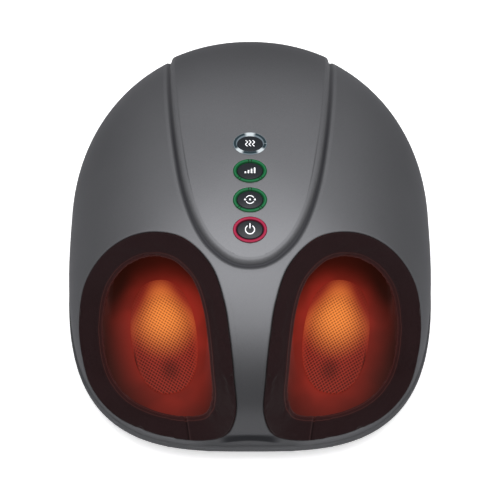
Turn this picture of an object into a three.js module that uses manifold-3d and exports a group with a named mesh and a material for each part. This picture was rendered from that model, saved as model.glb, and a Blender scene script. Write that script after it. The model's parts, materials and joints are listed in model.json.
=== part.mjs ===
// Shiatsu foot massager: a moulded dome on a shallow tray, two padded foot pockets, and under each
// sole a worm drive that turns two kneading heads. Millimetres, +Z up. The heels face -Y, and the
// origin is on the floor under the middle of the machine.
import * as THREE from "three";
import { mergeVertices } from "three/addons/utils/BufferGeometryUtils.js";
import Module from "manifold-3d";

const wasm = await Module();
wasm.setup();

// Fits and walls
const gap = 0.3; // left between pieces that touch
const overrun = 6; // how far a cutting shape runs past what it cuts
const domeWall = 3.5;
const trayWall = 3;

// The feet that it is built around
const footPitch = 169; // between the middles of the two soles
const soleForward = 89.5; // from the machine's middle to the middle of the sole
const soleHeight = 58;
const solePitch = (6 * Math.PI) / 180; // toes up
const toeOut = (8 * Math.PI) / 180;
const toeReach = 208; // from the middle of the sole to the end of the toe pocket
const toeHalfWidth = 47;
const instepHeight = 92;
const toeFloorLift = 0.5; // the toe end's floor above the flat sole
const wellHeel = 82; // from the middle of the sole to the heel end of the flat sole

// Foot openings, cut square to a plane that leans towards the user
const openingLean = (33 * Math.PI) / 180;
const openingWidth = 149;
const openingReach = 91; // from the sole's middle up the plane to the opening's toe end
const openingSill = 1.5; // dome left between the belt and the opening's heel end
const openingOut = 2; // the opening's middle from the sole's, away from the machine's middle
// Outline of the left opening, across (+ is towards the machine's middle) and up the plane
const openingShares = [
  [0.92, 0.03], [0.85, 0.36], [0.7, 0.68], [0.38, 0.93], [0.03, 1], [-0.34, 0.95],
  [-0.68, 0.77], [-0.92, 0.48], [-1, 0.1], [-0.97, -0.22], [-0.88, -0.5], [-0.58, -0.76],
  [-0.2, -0.9], [0.2, -0.98], [0.6, -1], [0.88, -0.93], [0.99, -0.72], [0.97, -0.36],
];

// Dome: plan and height, each half a superellipse
const sideMargin = 18; // dome outside each opening
const heelRoom = 40.5; // from the heel end of the sole to the tray's front edge
const toeRoom = 93.5; // from the end of the toe pocket to the tray's back edge
const domeCrest = 22; // how far behind the machine's middle the dome is highest and widest
const beltHeight = 42; // where the dome meets the tray
const domeRise = 165;
const planFrontPower = 3.16;
const planBackPower = 2.09;
const riseFrontPower = 2.15;
const riseSidePower = 2.6;
const riseBackPower = 2.87;
const domeHalfWidth = footPitch / 2 + openingOut + openingWidth / 2 + sideMargin;
const frontEdge = soleForward + wellHeel + heelRoom; // from the machine's middle
const backEdge = toeReach - soleForward + toeRoom;

// Tray
const beltLip = 2; // how far the tray's edge stands out past the dome
const beltBand = 6; // height of the tray's upright edge
const trayBackPower = 3.1;
const traySideTuck = 14; // how far the tray's underside draws in
const trayFrontTuck = 26;
const footHeight = 6;
const lipHeight = 3; // inner lip that locates the dome
const lipThickness = 1.6;
const lipStart = -100; // the lip runs from here to the back, clear of the openings
const ventWidth = 3;
const ventLength = 34;
const ventCount = 6;
const ventPitch = 8;
const ventForward = 18;

// Control panel, a raised tongue let into the dome
const panelTip = 103; // how far in front of the machine's middle the tongue starts
const panelLength = 240; // from the tip to where its sides run straight
const panelHalfWidth = 80;
const panelRise = 2.5;
const panelSink = 1.5;
const panelEnd = 26; // height above the belt where it ends at the back
const grooveWidth = 3.6;
const panelShares = [
  [0, 0], [0.15, 0.01], [0.28, 0.045], [0.46, 0.105], [0.65, 0.225], [0.82, 0.42], [0.94, 0.7], [1, 1],
];

// Buttons, front to back, with their light rings
const buttonNames = ["power", "mode", "strength", "heat"];
const buttonFirst = 70.6; // how far in front of the machine's middle the first one is
const ringWidth = 31;
const ringLength = 25;
const ringSpacing = 4.6; // between one ring and the next
const buttonPitch = ringLength + ringSpacing;
const ringBand = 3.2;
const ringStand = 0.8; // height above the panel
const buttonThickness = 4.5;
const buttonCrown = 0.9;
const crownShares = [[1, 0], [0.7, 0.7], [0.3, 1]]; // share of the cap's half size, and of its crown
const buttonTravel = 1;
const stemRadius = 2.6;

// Button board
const boardThickness = 1.6;
const buttonBoardWidth = 40;
const buttonBoardDrop = 17; // below the panel's face
const buttonBoardMargin = 13; // board past the first and last button
const switchSize = 6;
const switchHeight = 3.4;
const boardPostRadius = 3;

// Collar and pocket
const collarWidth = 23;
const collarThickness = 10;
// Section of the padded collar: share of its width from the shell inwards, share of its thickness
const collarSectionShares = [
  [0, -0.3], [0.05, 0], [0.28, 0.16], [0.55, 0.1], [0.8, -0.14], [0.96, -0.5], [0.98, -0.82],
  [0.84, -1], [0.08, -0.9],
];
const linerWall = 2;
const linerDrop = 0.6; // between the collar's underside and the liner's edge
const linerTuckShare = 0.82; // of the collar's width, where the liner meets its underside
const archPower = 2.5;
const solePower = 5;
const wellHalfWidth = 44;
const wellToe = 130;
// Arches of the toe end: shares of the toe reach, of the half width and of the instep height
const pocketShares = [
  [0.24, 0.96, 1], [0.42, 1, 0.96], [0.6, 0.97, 0.85], [0.78, 0.88, 0.68], [0.93, 0.62, 0.46],
  [1, 0.26, 0.22],
];

// Sole net and the plate under it
const netHalfWidth = 33;
const netHalfLength = 66;
const netBack = 6; // the net's middle from the sole's, towards the heel
const netThickness = 1.5;
const netCrown = 3;
const netUnderShares = [0.4, 0.7, 1]; // layers of the net, of its half size, from below
const netOverShares = [1, 0.75, 0.5, 0.25];
const soleOutlinePower = 2.4;
const plateThickness = 3;
const plateMargin = 4; // plate left round the net's window
const plateRim = 7; // the plate's rim round its window margin
const plateToe = 178; // from the middle of the sole to the plate's toe edge
const plateLegRadius = 4;
const plateLegAcross = 24;
const plateLegInset = 14;

// Kneading heads and their worm drive
const headOffset = 27; // each head's axis from the middle of the sole
const headDrop = 2.7; // top of the lobes below the sole
const lobeCount = 3;
const lobeHeight = 9;
const lobeRadius = 7.5;
const lobeOrbit = 14;
const webThickness = 1.6;
const discRadius = 24;
const discThickness = 4;
const spindleRadius = 4;
const toothCount = 18;
const toothModule = 2;
const wheelFace = 9;
const wheelHubRadius = 8;
const wormPitchRadius = 7;
const wormThreadLength = 13;
const backlash = 0.9;
const wormStubRadius = 3;
const coverThickness = 2.5;
const boxWall = 2.5;
const boxRunningGap = 1.2; // between the wheels or the worm and the gearbox
const motorRadius = 16;
const motorLength = 50;
const motorPlugDepth = 10;
const motorTailRadius = 5;
const motorTailLength = 3;
const boxLegRadius = 4;

// Lamp board
const lampBoardWidth = 52;
const lampBoardLength = 30;
const lampCount = 4;
const lampRadius = 2.5;
const lampPitch = 7;
const lampEdge = 3; // lamps from the board's heel edge

// Air system
const airbagHalfWidth = 30;
const airbagThickness = 7;
const airbagStartShare = 0.42; // of the toe reach
const airbagEndShare = 0.8;
const airbagPortShare = 0.6; // of the toe reach, where its nipple stands
const pumpRadius = 17;
const pumpLength = 58;
const pumpFootWidth = 44;
const pumpFootHeight = 8;
const pumpBack = 118; // pump's middle behind the machine's middle
const valveWidth = 50;
const valveDepth = 24;
const valveHeight = 26;
const valveBack = 62;
const hoseRadius = 3;
const hoseBend = 9; // how far the hose runs straight before it turns
const hoseSteps = 10;
const nippleRadius = 2.2;
const nippleLength = 6;
const valvePortHeight = 28;
const seatHeight = 5; // floor pads under the pump, the valves and the main board

// Main board
const mainBoardWidth = 66;
const mainBoardLength = 90;
const mainBoardForward = 22;
const chipSize = 12;
const chipHeight = 2.5;
const relaySize = 16;
const relayHeight = 14;

// Power inlet in the back of the tray
const inletWidth = 30;
const inletHeight = 18;
const inletDepth = 24;
const socketRadius = 6;
const socketPitch = 9;
const socketDepth = 16;
const socketWaistShare = 0.7;
const pinRadius = 1.2;
const pinLength = 10;

// Rubber feet
const padRadius = 14;
const padChamfer = 1.5;
const padPlugRadius = 5;
const padInset = 40;
const padRearInset = 70;

// Screws that hold the dome to the tray
const screwHeadRadius = 3.8;
const screwHeadHeight = 2.6;
const screwRadius = 1.75;
const screwLength = 26;
const screwSeat = 30; // height of the screw heads above the floor
const trayBossRadius = 6;
const domePostRadius = 4.5;
const sideScrewMargin = 21; // side screws in from the dome's widest point
const sideScrewBack = 3;
const rearScrewSpread = 60;
const rearScrewInset = 39;
const frontScrewInset = 40;

// Roundness of the surfaces
const domeSteps = 36;
const domeRings = 8;
const innerSteps = 24;
const innerRings = 6;
const openingSteps = 24;
const wellSteps = 3;
const archSteps = 12;
const roundSteps = 10;
const ovalSteps = 16;
const buttonSteps = 16;
const threadSteps = 8;
const boreSteps = 8;

const finish = {
  shell: material(0x5c5e64, 0.42, 0.35),
  tray: material(0x45464b, 0.5, 0.25),
  panel: material(0x63656b, 0.4, 0.35),
  buttonFace: material(0x2c2a2d, 0.35, 0),
  whiteRing: material(0xd9f0ff, 0.3, 0),
  greenRing: material(0x2f9a58, 0.3, 0),
  redRing: material(0xc42a55, 0.3, 0),
  collar: material(0x2b1d20, 0.9, 0),
  liner: material(0x45191a, 0.95, 0),
  net: material(0xc9502c, 0.8, 0),
  plastic: material(0x2a2a2c, 0.55, 0),
  nylon: material(0xd8d2c2, 0.5, 0),
  rubber: material(0x1c1c1d, 0.85, 0),
  steel: material(0xb3b5b8, 0.3, 0.9),
  board: material(0x1f5a36, 0.5, 0),
  bladder: material(0x6f7378, 0.7, 0),
};

function material(color, roughness, metalness) {
  return new THREE.MeshStandardMaterial({ color, roughness, metalness });
}

// A closed geometry as a solid, its faces turned outwards.
function solid(geometry) {
  const bare = new THREE.BufferGeometry();
  bare.setAttribute("position", geometry.getAttribute("position"));
  if (geometry.index) bare.setIndex(geometry.index);
  const merged = mergeVertices(bare);
  const shared = merged.getAttribute("position").array;
  const made = solidFrom(shared, merged.index.array);
  return made.volume() > 0 ? made : solidFrom(shared, [...merged.index.array].reverse());
}

function solidFrom(vertProperties, corners) {
  const triVerts = new Uint32Array(corners);
  return new wasm.Manifold(new wasm.Mesh({ numProp: 3, vertProperties, triVerts }));
}

function joined(solids) {
  return solids.reduce((all, one) => all.add(one));
}

// A solid as a named mesh of the scene.
function piece(name, made, look) {
  const mesh = made.getMesh();
  const geometry = new THREE.BufferGeometry();
  geometry.setAttribute("position", new THREE.BufferAttribute(mesh.vertProperties, mesh.numProp));
  geometry.setIndex(new THREE.BufferAttribute(mesh.triVerts, 1));
  geometry.computeVertexNormals();
  const shown = new THREE.Mesh(geometry, look);
  shown.name = name;
  return shown;
}

// Skin over a row of rings with equal numbers of points: closed by a fan at each end, or on itself.
// The first fan can be given its own middle point.
function skin(rings, endless = false, firstMiddle = null) {
  const count = rings[0].length;
  const points = rings.flat();
  const faces = [];
  const spans = endless ? rings.length : rings.length - 1;
  for (let i = 0; i < spans; i++) {
    const next = ((i + 1) % rings.length) * count;
    for (let j = 0; j < count; j++) {
      const k = (j + 1) % count;
      faces.push(i * count + j, i * count + k, next + k);
      faces.push(i * count + j, next + k, next + j);
    }
  }
  if (!endless) {
    closeEnd(points, faces, 0, count, false, firstMiddle);
    closeEnd(points, faces, (rings.length - 1) * count, count, true);
  }
  const geometry = new THREE.BufferGeometry().setFromPoints(points);
  geometry.setIndex(faces);
  return geometry;
}

function closeEnd(points, faces, first, count, turned, given = null) {
  const middle = new THREE.Vector3();
  for (let j = 0; j < count; j++) middle.add(points[first + j]);
  points.push(given ?? middle.divideScalar(count));
  const hub = points.length - 1;
  for (let j = 0; j < count; j++) {
    const a = first + j;
    const b = first + ((j + 1) % count);
    if (turned) faces.push(hub, a, b);
    else faces.push(hub, b, a);
  }
}

function signedPower(value, power) {
  return Math.sign(value) * Math.abs(value) ** power;
}

// A ring of a superellipse in a plane, as [across, along] pairs.
function ovalRing(halfAcross, halfAlong, power, steps) {
  return Array.from({ length: steps }, (_, i) => {
    const angle = (i / steps) * 2 * Math.PI;
    const across = halfAcross * signedPower(Math.cos(angle), 2 / power);
    const along = halfAlong * signedPower(Math.sin(angle), 2 / power);
    return [across, along];
  });
}

// An upright prism on a flat outline of [x, y] pairs, from low to high.
function prism(outline, low, high) {
  const shape = new THREE.Shape(outline.map(([x, y]) => new THREE.Vector2(x, y)));
  const geometry = new THREE.ExtrudeGeometry(shape, { depth: high - low, bevelEnabled: false });
  return geometry.translate(0, 0, low);
}

function block(x0, x1, y0, y1, z0, z1) {
  const geometry = new THREE.BoxGeometry(x1 - x0, y1 - y0, z1 - z0);
  return geometry.translate((x0 + x1) / 2, (y0 + y1) / 2, (z0 + z1) / 2);
}

// An upright round bar at x, y.
function bar(radius, x, y, low, high, steps = roundSteps) {
  const geometry = new THREE.CylinderGeometry(radius, radius, high - low, steps);
  return geometry.rotateX(Math.PI / 2).translate(x, y, (low + high) / 2);
}

// A turned shape from [radius, height] pairs that starts and ends on the axis.
function turned(profile, steps = roundSteps) {
  const points = profile.map(([radius, height]) => new THREE.Vector2(radius, height));
  return new THREE.LatheGeometry(points, steps).rotateX(Math.PI / 2);
}

// Dome surface. The offset moves it out or in, the angle goes round its plan from +X, and the
// slope goes from 0 at the crest to a quarter turn at the belt.
function domePoint(offset, angle, slope) {
  const back = Math.sin(angle) > 0;
  const plan = 2 / (back ? planBackPower : planFrontPower);
  const reach = (back ? backEdge - domeCrest : frontEdge + domeCrest) - beltLip + offset;
  const x = (domeHalfWidth + offset) * signedPower(Math.cos(angle), plan);
  const y = reach * signedPower(Math.sin(angle), plan);
  const power = risePower(x, y);
  const spread = Math.sin(slope) ** (2 / power);
  const rise = (domeRise + offset) * Math.max(0, Math.cos(slope)) ** (2 / power);
  return new THREE.Vector3(x * spread, domeCrest + y * spread, beltHeight + rise);
}

// The power of the dome's profile, blended from the sides to the front or back.
function risePower(x, y) {
  const heading = (y * y) / (x * x + y * y);
  return riseSidePower + ((y > 0 ? riseBackPower : riseFrontPower) - riseSidePower) * heading;
}

function domeHeightAt(x, y, offset = 0) {
  const dy = y - domeCrest;
  const plan = dy > 0 ? planBackPower : planFrontPower;
  const reach = (dy > 0 ? backEdge - domeCrest : frontEdge + domeCrest) - beltLip + offset;
  const side = Math.abs(x) / (domeHalfWidth + offset);
  const spread = (side ** plan + (Math.abs(dy) / reach) ** plan) ** (1 / plan);
  if (spread >= 1) return beltHeight - (domeRise + offset) * (spread - 1);
  const power = risePower(x, dy || 1);
  return beltHeight + (domeRise + offset) * (1 - spread ** power) ** (1 / power);
}

// The dome filled solid down to a flat bottom.
function domeBlank(offset, bottom, rings = domeRings, steps = domeSteps) {
  const layers = [];
  const quarter = Math.PI / 2;
  for (let i = 1; i <= rings; i++) {
    layers.push(domeRing(offset, (i / rings) * quarter, steps));
  }
  layers.push(domeRing(offset, quarter, steps).map((point) => point.setZ(bottom)));
  return solid(skin(layers, false, domePoint(offset, 0, 0)));
}

function domeRing(offset, slope, steps) {
  return Array.from({ length: steps }, (_, j) =>
    domePoint(offset, ((j + 1 / 2) / steps) * 2 * Math.PI, slope),
  );
}

// How far in front of the machine's middle the dome stands at a height, over a place across.
function domeFrontAt(x, height) {
  let inside = -domeCrest;
  let outside = frontEdge;
  for (let i = 0; i < openingSteps; i++) {
    const middle = (outside + inside) / 2;
    if (domeHeightAt(x, -middle) > height) inside = middle;
    else outside = middle;
  }
  return outside;
}

// The opening runs down its plane to where the dome stands a sill above the belt.
const sillHeight = beltHeight + openingSill;
const sillForward = domeFrontAt(footPitch / 2, sillHeight) - soleForward;
const heelReach =
  sillForward * Math.cos(openingLean) + (soleHeight - sillHeight) * Math.sin(openingLean);
const openingLength = openingReach + heelReach;
const openingDown = (heelReach - openingReach) / 2; // the opening's middle from the sole's

// Frames of the left foot: the sole's, and the opening's leaning plane through the same middle.
const soleMiddle = new THREE.Vector3(-footPitch / 2, -soleForward, soleHeight);
const soleFrame = new THREE.Matrix4()
  .makeRotationZ(toeOut)
  .multiply(new THREE.Matrix4().makeRotationX(solePitch))
  .setPosition(soleMiddle);
const openingFrame = new THREE.Matrix4().makeRotationX(openingLean).setPosition(soleMiddle);

function toOpening(u, v, w) {
  return new THREE.Vector3(u, v, w).applyMatrix4(openingFrame);
}

// Points round the left opening, drawn in by an inset, as [across, up] in the leaning plane.
function openingOutline(inset) {
  const corners = openingShares.map(([across, up]) => new THREE.Vector3(across, up, 0));
  const curve = new THREE.CatmullRomCurve3(corners, true, "centripetal");
  const across = openingWidth / 2 - inset;
  const up = openingLength / 2 - inset;
  return curve.getPoints(openingSteps).slice(0, openingSteps).map((share) => [
    share.x * across - openingOut,
    share.y * up - openingDown,
  ]);
}

// How far along the opening's direction the dome lies, over a point of the leaning plane.
function domeDepth(u, v) {
  let outside = frontEdge;
  let inside = -soleHeight;
  for (let i = 0; i < openingSteps; i++) {
    const middle = (outside + inside) / 2;
    const point = toOpening(u, v, middle);
    if (point.z > domeHeightAt(point.x, point.y)) outside = middle;
    else inside = middle;
  }
  return outside;
}

const rimDepths = openingOutline(0).map(([u, v]) => domeDepth(u, v));

function openingCutter() {
  const reach = frontEdge + domeRise;
  return prism(openingOutline(0), -soleHeight, reach).applyMatrix4(openingFrame);
}

function mirrored(geometry) {
  return geometry.clone().applyMatrix4(new THREE.Matrix4().makeScale(-1, 1, 1));
}

// Padded collar: its section carried round the opening, its face riding on the dome's surface.
function collar() {
  const sections = collarSectionShares.map(([inwards]) =>
    openingOutline(gap + inwards * collarWidth),
  );
  const rings = rimDepths.map((depth, i) =>
    collarSectionShares.map(([, height], k) => {
      const [u, v] = sections[k][i];
      return toOpening(u, v, depth + height * collarThickness);
    }),
  );
  return solid(skin(rings, true));
}

// The foot pocket, grown by an offset: a well from the collar's underside down to the sole, and an
// arched toe end. Towards the heel the well's wall drops first and then runs in to the sole, and
// towards the toes it runs back first, as a ceiling.
function footPocket(offset) {
  const tuck = gap + linerTuckShare * collarWidth;
  const mouth = openingOutline(tuck - offset);
  const edge = (outline, lift) => outline.map(([u, v], i) =>
    toOpening(u, v, rimDepths[i] - collarThickness - linerDrop + lift),
  );
  const rim = edge(mouth, 0);
  const rings = [offset ? edge(openingOutline(tuck), 0) : edge(mouth, 2 * overrun), rim];
  for (let k = 1; k <= wellSteps; k++) {
    const down = k / wellSteps;
    rings.push(mouth.map(([u, v], i) => {
      const angle = Math.atan2(v + openingDown, u + openingOut);
      return wellPoint(rim[i], angle, down, offset);
    }));
  }
  return solid(skin(rings)).add(solid(toeEnd(offset)));
}

function wellPoint(edge, angle, down, offset) {
  const middle = (wellToe - wellHeel) / 2;
  const toeSide = Math.max(0, Math.sin(angle));
  const sole = new THREE.Vector3(
    (wellHalfWidth + offset) * Math.cos(angle),
    ((wellToe + wellHeel) / 2 + offset) * Math.sin(angle) + middle,
    -offset,
  ).applyMatrix4(soleFrame);
  const inwards = THREE.MathUtils.lerp(down ** 2, 1 - (1 - down) ** 3, toeSide);
  const drop = THREE.MathUtils.lerp(down, down ** 2, toeSide);
  const raised = offset * (1 - down) * toeSide;
  return new THREE.Vector3(
    THREE.MathUtils.lerp(edge.x, sole.x, inwards),
    THREE.MathUtils.lerp(edge.y, sole.y, inwards),
    THREE.MathUtils.lerp(edge.z, sole.z, drop) + raised,
  );
}

// The toe end: arches over a flat sole, from under the opening to the toes.
function toeEnd(offset) {
  const rings = pocketShares.map(([along, wide, tall], i) => {
    const last = i === pocketShares.length - 1 ? offset : 0;
    const height = tall * instepHeight + 2 * offset;
    return Array.from({ length: archSteps }, (_, j) => {
      const angle = (j / archSteps) * 2 * Math.PI;
      const power = 2 / (Math.sin(angle) > 0 ? archPower : solePower);
      return new THREE.Vector3(
        signedPower(Math.cos(angle), power) * (wide * toeHalfWidth + offset),
        along * toeReach + last,
        (height * (1 + signedPower(Math.sin(angle), power))) / 2 + toeFloorLift - offset,
      );
    });
  });
  return skin(rings).applyMatrix4(soleFrame);
}

function liner() {
  const windowOutline = ovalRing(netHalfWidth, netHalfLength, soleOutlinePower, ovalSteps);
  const window = prism(windowOutline, -overrun, overrun).translate(0, -netBack, 0)
    .applyMatrix4(soleFrame);
  return footPocket(linerWall).subtract(footPocket(0)).subtract(solid(window));
}

// Where the airbag's nipple leaves it, on the arch's shoulder towards the middle of the machine.
const airbagPort = (() => {
  const [along, wide, tall] = pocketShares.find(([reachShare]) => reachShare >= airbagPortShare);
  const across = airbagHalfWidth / (wide * toeHalfWidth);
  const arch = (tall * instepHeight * (1 + (1 - across ** archPower) ** (1 / archPower))) / 2;
  return new THREE.Vector3(
    airbagHalfWidth, along * toeReach, arch + linerWall + gap + airbagThickness / 2,
  );
})();

// The crowned net panel that fills the liner's window, in the sole's frame.
function soleNet() {
  const layer = (share, drop) =>
    ovalRing(
      share * (netHalfWidth - gap), share * (netHalfLength - gap), soleOutlinePower, ovalSteps,
    ).map(([x, y]) => new THREE.Vector3(x, y - netBack, netCrown * (1 - share * share) - drop));
  const under = netUnderShares.map((share) => layer(share, netThickness));
  const over = netOverShares.map((share) => layer(share, 0));
  return solid(skin([...under, ...over]));
}

// Levels of the drive, from the sole down.
const lobeTop = -headDrop;
const discTop = lobeTop - lobeHeight - gap;
const discBottom = discTop - discThickness;
const coverTop = discBottom - gap;
const coverBottom = coverTop - coverThickness;
const wheelRadius = (toothCount * toothModule) / 2;
const wheelTip = wheelRadius + toothModule - gap / 2;
const wormTip = wormPitchRadius + toothModule;
const wheelRoot = wheelRadius - toothModule - backlash / 2;
const wormRoot = wormPitchRadius - toothModule - gap;
const wormLead = Math.PI * toothModule;
const wormAcross = wheelRadius + wormPitchRadius;
const driveLevel = coverBottom - wormTip - boxRunningGap;
const boxFloorTop = driveLevel - wormTip - boxRunningGap;
const boxBottom = boxFloorTop - boxWall;
const boxOutLow = wheelTip + boxRunningGap; // inner faces of the gearbox
const boxOutHigh = wormAcross + wormTip + boxRunningGap;
const boxAlong = headOffset + wheelTip + boxRunningGap;
const flankSlope = Math.tan((20 * Math.PI) / 180);
const toothHalf = (Math.PI * toothModule) / 4 - backlash / 4; // at the pitch line
const floorTop = footHeight + trayWall;

// The sole plate: a deck on four legs with a window over the kneading heads.
function solePlate() {
  const top = -linerWall - gap;
  const half = netHalfWidth + plateMargin + plateRim;
  const heel = -netBack - netHalfLength - plateMargin - plateRim;
  const middle = (heel + plateToe) / 2;
  const outline = ovalRing(half, (plateToe - heel) / 2, 2 * soleOutlinePower, ovalSteps)
    .map(([x, y]) => [x, y + middle]);
  const windowOutline = ovalRing(
    netHalfWidth + plateMargin, netHalfLength + plateMargin, soleOutlinePower, ovalSteps,
  );
  const deck = solid(prism(outline, top - plateThickness, top));
  const window = solid(
    prism(windowOutline, top - 2 * plateThickness, top + plateThickness).translate(0, -netBack, 0),
  );
  const legSpots = [-1, 1].flatMap((side) => [
    [side * plateLegAcross, heel + 2 * plateLegRadius + plateRim / 2],
    [side * plateLegAcross, plateToe - plateLegInset],
  ]);
  const legs = legSpots.map(([x, y]) =>
    solid(bar(plateLegRadius, x, y, -soleHeight - plateToe, top - plateThickness / 2)),
  );
  const pocket = footPocket(linerWall + gap).transform([...soleFrame.clone().invert().elements]);
  return deck.subtract(window).add(joined(legs)).subtract(joined([underFloor(), pocket]));
}

// Everything up to a gap above the tray's floor, in the sole's frame.
function underFloor() {
  const reach = 2 * toeReach;
  const slab = block(-reach, reach, -reach, reach, -reach, floorTop + gap);
  return solid(slab.applyMatrix4(soleFrame.clone().invert()));
}

// Kneading disc on its spindle, and the rubber cap with its lobes, both about the head's own axis.
function kneadingDisc() {
  const foot = boxFloorTop + gap;
  return solid(
    turned([
      [0, foot], [spindleRadius, foot], [spindleRadius, discBottom], [discRadius, discBottom],
      [discRadius, discTop], [0, discTop],
    ], ovalSteps),
  );
}

function kneadingCap() {
  const base = lobeTop - lobeHeight;
  const web = bar(lobeOrbit + lobeRadius / 2, 0, 0, base, base + webThickness);
  const side = base + lobeHeight / 3;
  const profile = [[0, base], [lobeRadius, base], [lobeRadius, side]];
  profile.push([lobeRadius * Math.SQRT1_2, side + (lobeTop - side) * Math.SQRT1_2]);
  profile.push([0, lobeTop]);
  const lobes = Array.from({ length: lobeCount }, (_, i) => {
    const angle = (i / lobeCount) * 2 * Math.PI;
    return solid(
      turned(profile, threadSteps)
        .translate(lobeOrbit * Math.cos(angle), lobeOrbit * Math.sin(angle), 0),
    );
  });
  return joined([solid(web), ...lobes]);
}

// Worm wheel with helical teeth. The gap between two teeth faces the thread's crest at rest.
function wormWheel(along) {
  const half = wheelFace / 2;
  const lean = wormLead / (2 * Math.PI * wormPitchRadius);
  const phase = -along / wheelRadius - Math.PI / toothCount;
  const layer = (height) => wheelOutline(phase + (height * lean) / wheelRadius)
    .map(([x, y]) => new THREE.Vector3(x, y, driveLevel + height));
  const rim = solid(skin([layer(-half), layer(half)]));
  const hub = solid(bar(wheelHubRadius, 0, 0, driveLevel, coverBottom - gap));
  const bore = bar(spindleRadius + gap, 0, 0, driveLevel - wheelFace, coverBottom + gap);
  return rim.add(hub).subtract(solid(bore));
}

function wheelOutline(turn) {
  const rootHalf = (toothHalf + (wheelRadius - wheelRoot) * flankSlope) / wheelRoot;
  const tipHalf = (toothHalf - (wheelTip - wheelRadius) * flankSlope) / wheelTip;
  return Array.from({ length: toothCount }, (_, i) => (i / toothCount) * 2 * Math.PI + turn)
    .flatMap((angle) => [
      [wheelRoot, angle - rootHalf], [wheelTip, angle - tipHalf],
      [wheelTip, angle + tipHalf], [wheelRoot, angle + rootHalf],
    ])
    .map(([radius, angle]) => [radius * Math.cos(angle), radius * Math.sin(angle)]);
}

// Worm shaft along the foot: a thread at each wheel, one continuous helix interrupted between them.
function wormShaft() {
  const shoulder = boxAlong - gap;
  const plug = boxAlong + boxWall + gap + motorPlugDepth - gap;
  const core = turned([
    [0, -boxAlong - boxWall], [wormStubRadius, -boxAlong - boxWall], [wormStubRadius, -shoulder],
    [wormRoot, -shoulder], [wormRoot, shoulder], [wormStubRadius, shoulder],
    [wormStubRadius, plug], [0, plug],
  ], threadSteps).rotateX(-Math.PI / 2);
  const threads = [-headOffset, headOffset].map((along) => solid(wormThread(along)));
  return joined([solid(core), ...threads]);
}

function wormThread(along) {
  const turns = wormThreadLength / wormLead;
  const steps = Math.round(turns * threadSteps);
  const rootHalf = toothHalf + (wormPitchRadius - wormRoot) * flankSlope;
  const tipHalf = toothHalf - (wormTip - wormPitchRadius) * flankSlope;
  const inner = wormStubRadius;
  const rings = Array.from({ length: steps + 1 }, (_, i) => {
    const rise = along + wormThreadLength * (i / steps - 1 / 2);
    const angle = (2 * Math.PI * rise) / wormLead;
    const at = (radius, shift) => new THREE.Vector3(
      -radius * Math.cos(angle), rise + shift, radius * Math.sin(angle),
    );
    return [at(inner, -rootHalf), at(wormTip, -tipHalf), at(wormTip, tipHalf), at(inner, rootHalf)];
  });
  return skin(rings);
}

// Gearbox: an open box with a bearing boss under each wheel and bores for the worm, and its cover.
function gearbox() {
  const outside = block(
    -boxOutLow - boxWall, boxOutHigh + boxWall, -boxAlong - boxWall, boxAlong + boxWall,
    boxBottom, coverBottom - gap,
  );
  const inside = block(
    -boxOutLow, boxOutHigh, -boxAlong, boxAlong, boxFloorTop, coverBottom + overrun,
  );
  const bosses = [-headOffset, headOffset].map((y) =>
    solid(bar(wheelHubRadius, 0, y, boxBottom, driveLevel - wheelFace / 2 - gap)),
  );
  const pivots = [-headOffset, headOffset].map((y) =>
    solid(bar(spindleRadius + gap, 0, y, boxFloorTop, driveLevel)),
  );
  const wormBore = new THREE.CylinderGeometry(
    wormStubRadius + gap, wormStubRadius + gap, 2 * (boxAlong + overrun), threadSteps,
  ).translate(wormAcross, 0, 0);
  wormBore.translate(0, 0, driveLevel);
  const legSpots = [boxLegRadius - boxOutLow, boxOutHigh - boxLegRadius].flatMap((x) =>
    [boxLegRadius - boxAlong, boxAlong - boxLegRadius].map((y) => [x, y]),
  );
  const legs = legSpots.map(([x, y]) =>
    solid(bar(boxLegRadius, x, y, -2 * soleHeight, boxBottom + gap, threadSteps)),
  );
  const box = solid(outside).subtract(solid(inside));
  return joined([box, ...bosses, joined(legs).subtract(underFloor())])
    .subtract(joined([...pivots, solid(wormBore)]));
}

function gearboxCover() {
  const plate = block(
    -boxOutLow - boxWall, boxOutHigh + boxWall, -boxAlong - boxWall, boxAlong + boxWall,
    coverBottom, coverTop,
  );
  const bores = [-headOffset, headOffset].map((y) =>
    solid(bar(spindleRadius + gap, 0, y, coverBottom - overrun, coverTop + overrun)),
  );
  return solid(plate).subtract(joined(bores));
}

// Motor on the gearbox's toe wall, along the foot, hollow where the worm shaft plugs in.
function motor() {
  const face = boxAlong + boxWall + gap;
  const back = face + motorLength;
  const seat = face + motorPlugDepth;
  return solid(
    turned([
      [0, seat], [wormStubRadius + gap, seat], [wormStubRadius + gap, face],
      [motorRadius, face], [motorRadius, back], [motorTailRadius, back],
      [motorTailRadius, back + motorTailLength], [0, back + motorTailLength],
    ]).rotateX(-Math.PI / 2).translate(wormAcross, 0, driveLevel),
  );
}

// Lamp board under the plate, its lamps at the toe end of the window.
function lampBoard() {
  const top = -linerWall - plateThickness - 2 * gap;
  const heel = headOffset + discRadius + plateMargin;
  const sheet = block(
    -lampBoardWidth / 2, lampBoardWidth / 2, heel, heel + lampBoardLength,
    top - boardThickness, top,
  );
  const lamps = Array.from({ length: lampCount }, (_, i) => {
    const across = (i - (lampCount - 1) / 2) * lampPitch;
    return solid(
      bar(lampRadius, across, heel + lampEdge, top - boardThickness / 2, top + lampRadius, boreSteps),
    );
  });
  return joined([solid(sheet), ...lamps]);
}

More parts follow.
